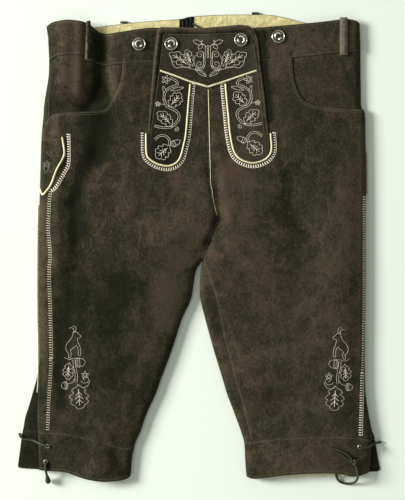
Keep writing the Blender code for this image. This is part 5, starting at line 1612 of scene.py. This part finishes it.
def stitch_tree():
    """The tree that sews. FALL_FROM and FALL are metres: where a step starts, and how far it drops."""
    tree = bpy.data.node_groups.new("stitches", "GeometryNodeTree")
    for label, kind in STITCH_INPUTS.items():
        tree.interface.new_socket(label, in_out="INPUT", socket_type="NodeSocket" + kind)
    tree.interface.new_socket("Stitches", in_out="OUTPUT", socket_type="NodeSocketGeometry")

    def node(kind, inputs=None, **settings):
        return add_node(tree, kind, inputs, **settings).outputs

    def vector(operation, inputs):
        return node("ShaderNodeVectorMath", inputs, operation=operation)

    given = tree.nodes.new("NodeGroupInput").outputs
    curve = node("GeometryNodeMeshToCurve", {"Mesh": given["Lines"]})[0]
    steps = node("GeometryNodeCurveToPoints", {"Curve": curve, "Length": given["Spacing"]}, mode="LENGTH")
    way = steps["Tangent"]
    ahead = vector("SCALE", {0: way, "Scale": given["Along"]})[0]
    side = vector("CROSS_PRODUCT", {0: way, 1: (0.0, 0.0, 1.0)})[0]
    lean = vector("SCALE", {0: side, "Scale": given["Across"]})[0]
    leg = vector("ADD", {0: ahead, 1: lean})[0]
    reach = vector("LENGTH", {0: leg})["Value"]
    cloth_below = node("GeometryNodeObjectInfo", {"Object": given["Cloth"]}, transform_space="RELATIVE")
    spot = node("GeometryNodeInputPosition")[0]
    high = vector("ADD", {0: spot, 1: (0.0, 0.0, FALL_FROM)})[0]
    hit = node("GeometryNodeRaycast", {
        "Target Geometry": cloth_below["Geometry"], "Source Position": high,
        "Ray Direction": (0.0, 0.0, -1.0), "Ray Length": FALL,
    })
    missed = node("FunctionNodeBooleanMath", {0: hit["Is Hit"]}, operation="NOT")[0]
    kept = node("GeometryNodeDeleteGeometry", {"Geometry": steps[0], "Selection": missed})[0]
    raised = vector("SCALE", {0: hit["Hit Normal"], "Scale": given["Lift"]})[0]
    place = vector("ADD", {0: hit["Hit Position"], 1: raised})[0]
    moved = node("GeometryNodeSetPosition", {"Geometry": kept, "Position": place})[0]
    align = "FunctionNodeAlignRotationToVector"
    upright = node(align, {"Vector": hit["Hit Normal"]}, axis="Z", pivot_axis="AUTO")[0]
    turned_way = node(align, {"Rotation": upright, "Vector": leg}, axis="X", pivot_axis="Z")[0]
    ball = node("GeometryNodeMeshUVSphere", {"Segments": 6, "Rings": 4, "Radius": 0.5})[0]
    spindle = node("GeometryNodeTransform", {"Geometry": ball, "Rotation": (0.0, math.pi / 2, 0.0)})[0]
    height = calculate(tree, "MULTIPLY", given["Thread"], FLATNESS)
    size = node("ShaderNodeCombineXYZ", {"X": reach, "Y": given["Thread"], "Z": height})[0]
    sewn = node("GeometryNodeInstanceOnPoints", {
        "Points": moved, "Instance": spindle, "Rotation": turned_way, "Scale": size,
    })[0]
    real = node("GeometryNodeRealizeInstances", {"Geometry": sewn})[0]
    smooth = node("GeometryNodeSetShadeSmooth", {"Geometry": real})[0]
    coloured = node("GeometryNodeSetMaterial", {"Geometry": smooth, "Material": given["Finish"]})[0]
    tree.links.new(coloured, tree.nodes.new("NodeGroupOutput").inputs[0])
    return tree


STITCHES = stitch_tree()
print("stitch tree with", len(STITCHES.nodes), "nodes")

# %% Sewing along lines
def joined(name, things):
    """One mesh of several sheets, as ground for the stitches."""
    corners, faces = [], []
    for thing in things:
        first = len(corners)
        corners += [v.co[:] for v in thing.data.vertices]
        faces += [[first + v for v in f.vertices] for f in thing.data.polygons]
    mesh = bpy.data.meshes.new(name)
    mesh.from_pydata(corners, [], faces)
    return in_scene(name, mesh)


def sew(name, lines, finish, finish_slot, spacing, along, thread, lift=0.05, across=0.0):
    """Stitches along lines in the plan, on the ground. Lengths are in millimetres."""
    corners, edges = [], []
    for line in lines:
        first = len(corners)
        corners += [(x * MM, y * MM, 0.0) for x, y in np.asarray(line)[:, :2]]
        edges += [(first + i, first + i + 1) for i in range(len(line) - 1)]
    mesh = bpy.data.meshes.new(name)
    mesh.from_pydata(corners, edges, [])
    drawn = in_scene(name + "_lines", mesh)
    modifier = drawn.modifiers.new("stitches", "NODES")
    modifier.node_group = STITCHES
    values = {
        "Cloth": ground, "Spacing": spacing * MM, "Along": along * MM, "Across": across * MM,
        "Thread": thread * MM, "Lift": lift * MM, "Finish": finish,
    }
    for item in STITCHES.interface.items_tree:
        if item.name in values:
            modifier[item.identifier] = values[item.name]
    drawn.update_tag()
    bpy.context.view_layer.update()
    result = bpy.data.meshes.new_from_object(drawn.evaluated_get(bpy.context.evaluated_depsgraph_get()))
    bpy.data.objects.remove(drawn)
    keep_piece(in_scene(name, result), finish_slot)
    print(name, len(result.polygons), "faces")


def runs(line, keep):
    """The stretches of a line where keep is true."""
    found = [[]]
    for point, good in zip(line, keep):
        if good:
            found[-1].append(point)
        else:
            found.append([])
    return [np.array(run) for run in found if len(run) > 2]


UNSEWN = ("back", "band_back", "cuff_back", "lining", "cuff_lining", "gusset")
ground = joined("sewing_ground", [cloth[name] for name in cloth if not name.startswith(UNSEWN)])
print("sewing ground of", len(ground.data.polygons), "faces")


def clear_of_layers(line, below_band=False):
    """A line on the front, cut where the flap or a belt loop covers it."""
    line = even_steps(line, 1.5)
    covered = inside(offset(flap_outer, -1.0), line)
    if below_band:
        covered |= above(waist_seam - (0, 1.5), line)
    for side in FRONT_LOOPS:
        covered |= inside(loop_outline(side), line)
    return runs(line, ~covered & (edge_distance(line) > 1.5))


# %% Seams
SEAM_ROWS = [
    (waist_seam, 2.3), (waist_top, -3.6), (cuff_left, -2.0), (cuff_right, -2.0), (hem_left, 4.2),
    (hem_right, 4.2), (mouth_left, 2.0), (mouth_left, 5.0), (mouth_right, -2.0), (mouth_right, -5.0),
    (inseam, 2.0), (centre_seam, -2.2),
]
HIP_ROW = np.array([(-255, 314), (-254, 280), (-256, 240), (-256, 216)], float)
BELOW_BAND = 300.0
seam_rows = []
for row in [offset(line, beside) for line, beside in SEAM_ROWS] + [HIP_ROW]:
    seam_rows += clear_of_layers(row, row[:, 1].min() < BELOW_BAND)
sew("flap_stitches", [offset(flap_inner, -2.0)], SEAM_THREAD, "suede", 2.8, 2.2, 0.9, lift=0.1)
seam_rows.append(offset(flap_outer, -2.2))
for x in (FRONT_LOOPS["right"][0][0] + 2.0, FRONT_LOOPS["right"][1][0] - 2.0):
    seam_rows.append(even_steps([(x, 326.5), (x, 388.0)], 4.0))
seam_rows.append(even_steps([(KNIFE_TOP[0][0] + 2, 181.5), (-233, 182.2)], 4.0))
sew("seam_stitches", seam_rows, SEAM_THREAD, "suede", 3.1, 2.4, 0.62)

# %% Trims beside the side seams and the piping
TOOTH_PITCH, TOOTH_ALONG, SPINE_PITCH, SPINE_ALONG, SPINE_PLACE = 4.1, 0.7, 1.7, 2.2, 0.42
Trim = namedtuple("Trim", "line across tooth spine")
TRIM_LEFT = [
    (-252, 97), (-254, 80), (-255, 60), (-256, 28), (-253, -11), (-254.5, -40), (-254, -70), (-252.5, -108),
    (-250.8, -184), (-251, -190),
]
TRIM_LEFT_LOW = [(-251.2, -194), (-252.6, -227), (-254.6, -252), (-257, -311)]
TRIM_RIGHT = [(281, 84), (280.6, 40), (280.2, -91), (279.2, -150), (278.6, -193), (277.6, -214)]
TRIM_RIGHT_LOW = [(277.6, -215.5), (276.6, -244), (275, -295), (274.4, -320)]
TRIM_KNIFE = [(-221.6, 190), (-221, 165), (-221.6, 140), (-228, 126), (-240, 104), (-249, 95)]
trims = {
    "left": Trim(smooth_line(TRIM_LEFT, 1.5), -6.8, 1.1, 0.4),
    "left_low": Trim(smooth_line(TRIM_LEFT_LOW, 1.5), -6.4, 0.9, 0.3),
    "right": Trim(smooth_line(TRIM_RIGHT, 1.5), -5.6, 1.7, 0.55),
    "right_low": Trim(smooth_line(TRIM_RIGHT_LOW, 1.5), -7.6, 1.9, 0.65),
    "knife": Trim(smooth_line(TRIM_KNIFE, 1.5), -6.4, 2.5, 1.35),
    "tongue_left": Trim(offset(tongues["left"], 5.8), -5.6, 1.8, 0.8),
    "tongue_right": Trim(offset(tongues["right"], -5.8), 6.0, 2.4, 1.1),
}
for name, (line, across, tooth, spine) in trims.items():
    middle = offset(line, -SPINE_PLACE * across)
    sew(f"teeth_{name}", [line], THREAD, "piping", TOOTH_PITCH, TOOTH_ALONG, tooth, 0.15, across)
    sew(f"spine_{name}", [middle], THREAD, "piping", SPINE_PITCH, SPINE_ALONG, spine, 0.12)

# %% [markdown]
# ## Embroidery
# Oak leaves, acorns, buds and double stems are sewn in pale chain stitch on the bib, the tongues
# and above both knees, with a small mountain goat over each knee. The pattern is drawn here on
# squared paper, from a few unit shapes: a lobed leaf with veins, an acorn in its cup, a bud, a
# spiral. A square is 1.7 mm wide, and rows are counted downwards. Each side of the garment has the
# mirror image of the other. The small scroll on the knife pocket stands alone.

# %% Unit shapes on squared paper
SQUARE = 1.7
PAPER_ORIGIN = np.array([199.0, 246.5])
LEAF_EDGE = np.array([
    (0.0, 0.0), (0.07, 0.05), (0.16, 0.17), (0.25, 0.22), (0.32, 0.16), (0.41, 0.25), (0.52, 0.29),
    (0.58, 0.21), (0.68, 0.27), (0.79, 0.24), (0.84, 0.15), (0.93, 0.12), (1.0, 0.0),
])
ACORN_NUT = np.array([
    (0.40, 0.36), (0.60, 0.40), (0.82, 0.30), (1.0, 0.0), (0.82, -0.30), (0.60, -0.40), (0.40, -0.36),
])
ACORN_CUP = np.array([
    (0.02, 0.0), (0.10, 0.36), (0.30, 0.46), (0.42, 0.40), (0.42, -0.40), (0.30, -0.46), (0.10, -0.36),
    (0.02, 0.0),
])


def placed(shape, base, tip, width):
    """A unit shape stretched from base to tip, width being its half width for 0.3 units."""
    base, tip = np.array(base, float), np.array(tip, float)
    along = tip - base
    across = np.array([-along[1], along[0]]) / np.linalg.norm(along) * width / 0.29
    shape = np.asarray(shape, float)
    return base + np.outer(shape[:, 0], along) + np.outer(shape[:, 1], across)


def leaf(base, tip, width, bend=0.0):
    both = np.vstack([LEAF_EDGE, LEAF_EDGE[::-1][1:-1] * (1, -1)])
    both = both + np.column_stack([np.zeros(len(both)), bend * np.sin(math.pi * both[:, 0])])
    return [smooth_line(placed(both, base, tip, width), 0.5, closed=True)]


def veins(base, tip, width, bend=0.0):
    rib = [(t, bend * math.sin(math.pi * t)) for t in np.linspace(0.2, 0.82, 7)]
    lines = [smooth_line(placed(rib, base, tip, width), 0.5)]
    for t, reach in ((0.30, 0.08), (0.46, 0.11), (0.63, 0.10)):
        middle = bend * math.sin(math.pi * t)
        for way in (-1, 1):
            vein = [(t, middle), (t + 0.12, middle + way * reach)]
            lines.append(even_steps(placed(vein, base, tip, width), 0.5))
    return lines


def acorn(base, tip, width):
    return [
        smooth_line(placed(ACORN_NUT, base, tip, width * 0.72), 0.5),
        smooth_line(placed(ACORN_CUP, base, tip, width * 0.72), 0.5),
        even_steps(placed([(0.22, 0.42), (0.22, -0.42)], base, tip, width * 0.72), 0.5),
    ]


def spiral(centre, radius, turns, start, way=1):
    t = np.linspace(0.0, 1.0, 40)
    angle = start + way * 2 * math.pi * turns * t
    reach = radius * (1.0 - 0.78 * t)
    return [np.column_stack([centre[0] + reach * np.cos(angle), centre[1] + reach * np.sin(angle)])]


def bud(centre, radius, turn=0.0):
    angle = np.linspace(0, 2 * math.pi, 41)
    reach = radius * (0.74 + 0.26 * np.cos(5 * (angle + turn)))
    ring = np.column_stack([centre[0] + reach * np.cos(angle), centre[1] + reach * np.sin(angle)])
    return [ring, np.array(centre) + 0.36 * radius * np.column_stack([np.cos(angle), np.sin(angle)])]


def stem(points, half=0.68):
    line = smooth_line(points, 0.6)
    return [offset(line, half), offset(line, -half)]


def loop_leaf(base, tip, width):
    shape = [(0.0, 0.0), (0.25, 0.2), (0.6, 0.26), (1.0, 0.0), (0.6, -0.26), (0.25, -0.2), (0.0, 0.0)]
    return [smooth_line(placed(shape, base, tip, width), 0.5)]


def single(points):
    return [smooth_line(points, 0.6)]


def mirrored(lines, axis, drop=0.0):
    return [np.column_stack([2 * axis - line[:, 0], line[:, 1] + drop]) for line in lines]


def in_mm(lines):
    return [(np.asarray(line) - PAPER_ORIGIN) * (SQUARE, -SQUARE) for line in lines]


def outlines_of(leaves):
    return [line for shape in leaves for line in leaf(*shape)]


def veins_of(leaves):
    return [line for shape in leaves for line in veins(*shape)]


# %% The patterns
bib_leaves = [((190.4, 67.8), (169.6, 53.8), 6.0, 0.05), ((192.8, 66.4), (186.4, 50.2), 4.5, -0.04)]
bib, bib_veins = outlines_of(bib_leaves), veins_of(bib_leaves)
bib += spiral((199.9, 55.2), 4.3, 1.35, 0.6, -1) + spiral((199.6, 64.6), 4.4, 1.4, -0.7, 1)
bib += single([(203.2, 52.6), (203.6, 57.5), (203.9, 61.5)])
bib += single([(195.6, 56.0), (194.0, 61.0), (195.4, 66.8), (199.5, 69.2), (204.2, 66.2)])
bib += stem([(206.2, 46.2), (206.4, 52.0), (206.3, 58.0)], 1.0)
bib += single([(204.0, 57.5), (205.2, 62.0), (204.4, 67.4), (201.2, 70.4), (196.4, 71.2)])
bib += loop_leaf((202.2, 44.4), (193.2, 41.2), 2.3) + loop_leaf((203.0, 45.0), (198.2, 49.4), 1.9)
bib += single([(202.2, 44.4), (204.4, 45.2), (206.0, 47.4)])
bib += single([(200.8, 42.4), (202.6, 40.6), (201.6, 43.6)])
bib += loop_leaf((195.8, 69.4), (206.4, 76.8), 2.1) + single([(197.0, 70.3), (201.5, 72.8), (205.0, 75.6)])
bib += single([(170.8, 56.5), (172.8, 64.5), (177.0, 68.4), (184.0, 67.2), (190.6, 69.2), (196.2, 70.2)])
bib += mirrored(bib, 208.0)
bib_veins += mirrored(bib_veins, 208.0)

tongue_leaves = [
    ((169.2, 107.0), (180.8, 93.6), 6.4, 0.03), ((172.4, 127.2), (157.8, 112.6), 5.8, 0.05),
    ((170.2, 146.0), (156.6, 158.0), 7.4, 0.0),
]
tongue, tongue_veins = outlines_of(tongue_leaves), veins_of(tongue_leaves)
upper_stem = [(170.6, 78.2), (176.2, 81.6), (177.0, 85.4), (169.4, 88.6), (164.8, 93.8), (164.2, 100.2)]
lower_stem = [
    (164.2, 100.2), (166.8, 106.2), (172.2, 109.4), (177.6, 112.6), (179.2, 118.0), (176.4, 123.4),
    (170.6, 127.6),
]
tongue += bud((166.0, 80.2), 4.4) + stem(upper_stem, 0.9)
tongue += stem(lower_stem, 1.0)
tongue += stem([(170.6, 127.6), (163.0, 128.0), (155.2, 126.4)], 0.9)
tongue += single([(163.4, 93.0), (163.2, 86.6), (166.2, 90.4)])
tongue += loop_leaf((171.4, 91.0), (183.8, 87.8), 1.6)
tongue += bud((158.0, 104.4), 2.6, 0.4) + single([(160.4, 104.8), (163.4, 104.6), (165.2, 105.6)])
tongue += spiral((176.6, 129.6), 2.5, 1.3, -1.6, 1)
tongue += stem([(155.4, 139.6), (160.6, 136.0), (166.4, 136.8), (169.6, 141.0), (169.4, 145.6)], 0.9)
tongue += acorn((171.4, 145.4), (180.4, 141.0), 2.6)


def other_tongue(lines):
    """The mirror image, which leans a little outwards and is a little shorter."""
    made = []
    for line in lines:
        share = (line[:, 1] - 78.0) / 75.0
        made.append(np.column_stack([2 * (207.2 + 1.8 * share) - line[:, 0], line[:, 1] - 4.0 * share]))
    return made


tongue += other_tongue(tongue)
tongue_veins += other_tongue(tongue_veins)

goat = [
    (74.8, 332.0), (73.9, 335.4), (72.0, 339.0), (69.0, 342.2), (67.0, 346.4), (67.6, 350.4), (70.0, 353.4),
    (69.8, 357.2), (71.8, 357.0), (72.6, 352.8), (71.8, 350.0), (74.6, 347.8), (77.6, 345.6), (79.4, 348.8),
    (79.8, 354.6), (81.8, 354.4), (81.6, 347.6), (79.6, 342.4), (78.8, 338.4), (80.8, 337.6), (82.4, 335.8),
    (80.2, 333.8), (77.4, 331.6),
]
knee_leaves = [((70.6, 362.6), (69.2, 379.0), 5.6, 0.02), ((79.6, 384.2), (81.2, 408.4), 9.4, 0.0)]
knee, knee_veins = outlines_of(knee_leaves), veins_of(knee_leaves)
knee += [smooth_line(goat, 0.5, closed=True)]
knee += single([(75.2, 331.6), (74.8, 329.0), (73.0, 327.4), (71.2, 328.0)])
knee += single([(77.0, 331.2), (77.4, 328.4), (76.2, 326.2), (74.4, 326.0)])
knee += single([(66.2, 357.6), (70.4, 359.2), (75.4, 357.8), (80.4, 358.4)])
knee += acorn((77.0, 362.4), (86.6, 361.6), 4.0)
knee += stem([(75.2, 359.6), (76.0, 366.0), (77.6, 374.0), (77.4, 381.2)], 1.1)
knee += bud((86.2, 374.4), 3.6, 0.3) + spiral((86.6, 378.6), 4.6, 1.1, 2.6, -1)
knee += single([(80.2, 384.6), (83.6, 386.8), (88.6, 385.6), (91.2, 380.4)])
knee += acorn((69.2, 385.0), (62.6, 385.4), 3.2) + single([(76.4, 378.4), (73.8, 382.0), (69.4, 383.6)])

scroll = single([(49.8, 152.0), (52.4, 154.2), (52.0, 156.6), (49.4, 155.2), (47.0, 152.2)])
scroll += bud((47.4, 164.6), 3.2, 0.2)
scroll += single([(46.6, 160.6), (49.8, 163.4), (48.8, 168.8), (46.2, 172.6), (44.4, 168.0), (44.8, 163.6)])
print("lines drawn: bib", len(bib), "tongues", len(tongue), "one knee", len(knee), "scroll", len(scroll))

# %% Embroidery in chain stitch
CHAIN_STEP, CHAIN_LENGTH, SATIN_THREAD = 1.8, 2.3, 1.0
KNEE_SHIFT, KNEE_MIRROR, KNEE_DROP = (-0.8, 0.0), 207.4, 1.6


def both_knees(lines):
    return in_mm([line + KNEE_SHIFT for line in lines] + mirrored(lines, KNEE_MIRROR, KNEE_DROP))


embroidery = {
    "bib": (in_mm(bib), in_mm(bib_veins), 0.62),
    "tongues": (in_mm(tongue), in_mm(tongue_veins), 0.68),
    "knees": (both_knees(knee), both_knees(knee_veins), 0.52),
}
for name, (lines, inner_lines, thread) in embroidery.items():
    name = f"embroidery_{name}"
    sew(name, lines, THREAD, "piping", CHAIN_STEP, CHAIN_LENGTH, thread, 0.1)
    sew(name + "_veins", inner_lines, THREAD, "piping", CHAIN_STEP, CHAIN_LENGTH, SATIN_THREAD, 0.15)
sew("embroidery_knife", in_mm(scroll), SCROLL_THREAD, "suede", CHAIN_STEP, CHAIN_LENGTH, 0.8, 0.1)
bpy.data.objects.remove(ground)

# %% [markdown]
# ## The cut of every sheet
# Each sheet is listed with the size that its piece had when it lay flat on the cutting table: a little more
# than its plan where the cloth rolls over or folds. The flap's border is one long strip that turns corners.
# The table also names what each sheet rests on and the trims sewn on it, and the script prints each sheet's
# size and its area of cloth. The belt loops' tips behind the band show only 3 mm of cloth and are left out
# of the table.

Cut = namedtuple("Cut", "width length area rests_on")
CUTS = {
    "back_left": Cut(335, 668, 0.1683, ()),
    "back_right": Cut(299, 665, 0.1690, ()),
    "back_right_turn": Cut(42, 322, 0.0081, ("back_right",)),
    "front_left": Cut(316, 668, 0.1610, ("back_left",)),
    "front_right": Cut(293, 653, 0.1562, ("back_right",)),
    "hip_left": Cut(153, 126, 0.0146, ("back_left",)),
    "hip_right": Cut(135, 110, 0.0125, ("back_right",)),
    "band_left": Cut(278, 77, 0.0165, ("band_back_left",)),
    "band_right": Cut(266, 74, 0.0156, ("band_back_right",)),
    "band_back_left": Cut(239, 81, 0.0146, ()),
    "band_back_right": Cut(295, 83, 0.0198, ()),
    "cuff_left": Cut(169, 85, 0.0115, ("cuff_back_left",)),
    "cuff_right": Cut(221, 73, 0.0147, ("cuff_back_right",)),
    "cuff_back_left": Cut(199, 84, 0.0126, ()),
    "cuff_back_right": Cut(232, 72, 0.0144, ()),
    "cuff_lining_right": Cut(114, 26, None, ("cuff_back_right",)),
    "lining_left": Cut(152, 64, 0.0075, ("band_back_left",)),
    "lining_right": Cut(191, 63, 0.0095, ("band_back_right",)),
    "flap_border": Cut(13, 530, 0.0050, ("front_left", "front_right")),
    "flap_bib": Cut(170, 93, 0.0128, ("band_left", "band_right")),
    "tongue_left": Cut(72, 161, 0.0088, ("front_left",)),
    "tongue_right": Cut(75, 156, 0.0086, ("front_right",)),
    "knife_pocket": Cut(38, 97, 0.0027, ("front_left",)),
    "loop_front_left": Cut(11, 68, None, ("band_left",)),
    "loop_front_right": Cut(15, 65, None, ("band_right",)),
    "gusset_back": Cut(31, 63, 0.00125, ()),
}
SEWN_ON = {
    "front_left": [
        "leather_piping_centre", "leather_piping_side_left", "teeth_left", "spine_left", "teeth_left_low",
        "spine_left_low", "seam_stitches",
    ],
    "front_right": [
        "leather_piping_side_right", "teeth_right", "spine_right", "teeth_right_low", "spine_right_low",
        "embroidery_knees", "embroidery_knees_veins",
    ],
    "flap_border": ["flap_stitches"],
    "flap_bib": ["leather_piping_bib", "embroidery_bib", "embroidery_bib_veins"],
    "tongue_left": [
        "leather_piping_tongue_left", "teeth_tongue_left", "spine_tongue_left", "embroidery_tongues",
    ],
    "tongue_right": [
        "leather_piping_tongue_right", "teeth_tongue_right", "spine_tongue_right",
        "embroidery_tongues_veins",
    ],
    "knife_pocket": ["leather_piping_knife_pocket", "teeth_knife", "spine_knife", "embroidery_knife"],
}
for name, cut in CUTS.items():
    cloth[name]
    [cloth[under_it] for under_it in cut.rests_on]
    [bpy.data.objects[piece] for piece in SEWN_ON.get(name, [])]
    own = sum(face.area for face in cloth[name].data.polygons) / 2
    print(f"{name}: {cut.width} by {cut.length} mm flat, {own:.4f} square metres of cloth")

# %% [markdown]
# ## Table and light
# The garment lies on a plain pale table. Soft light comes from a wide window on the left, a little
# above the waist's side, and the pale room fills the shadows.

# %% Table, window, room
FLOOR_COLOUR = (0.80, 0.865, 0.78)
floor_finish, _, floor_shader, _ = new_finish("table_pale", 0.8, Specular_IOR_Level=0.1)
floor_shader.inputs["Base Color"].default_value = (*FLOOR_COLOUR, 1.0)
bpy.ops.mesh.primitive_plane_add(size=12.0, location=(0.0, 0.0, -0.0002))
floor = bpy.context.object
floor.name = "table"
floor.data.materials.append(floor_finish)


def window(name, place, target, size, power, colour):
    data = bpy.data.lights.new(name, "AREA")
    data.shape, data.size, data.size_y = "RECTANGLE", size[0], size[1]
    data.energy, data.color = power, colour
    thing = in_scene(name, data)
    thing.location = place
    thing.rotation_mode = "QUATERNION"
    thing.rotation_quaternion = (Vector(target) - Vector(place)).to_track_quat("-Z", "Y")


window("window_left", (-5.6, 1.3, 2.5), (0, 0, 0), (2.2, 1.7), 770.0, (1.0, 0.985, 0.95))
window("lamp_low_left", (-3.2, -3.2, 3.4), (0, 0, 0), (0.6, 0.6), 22.0, (1.0, 0.99, 0.95))
world = bpy.data.worlds.new("room")
bpy.context.scene.world = world
world.use_nodes = True
world.node_tree.nodes["Background"].inputs[0].default_value = (0.95, 1.0, 0.95, 1.0)
world.node_tree.nodes["Background"].inputs[1].default_value = 0.36
bpy.context.scene.view_settings.view_transform = "Standard"
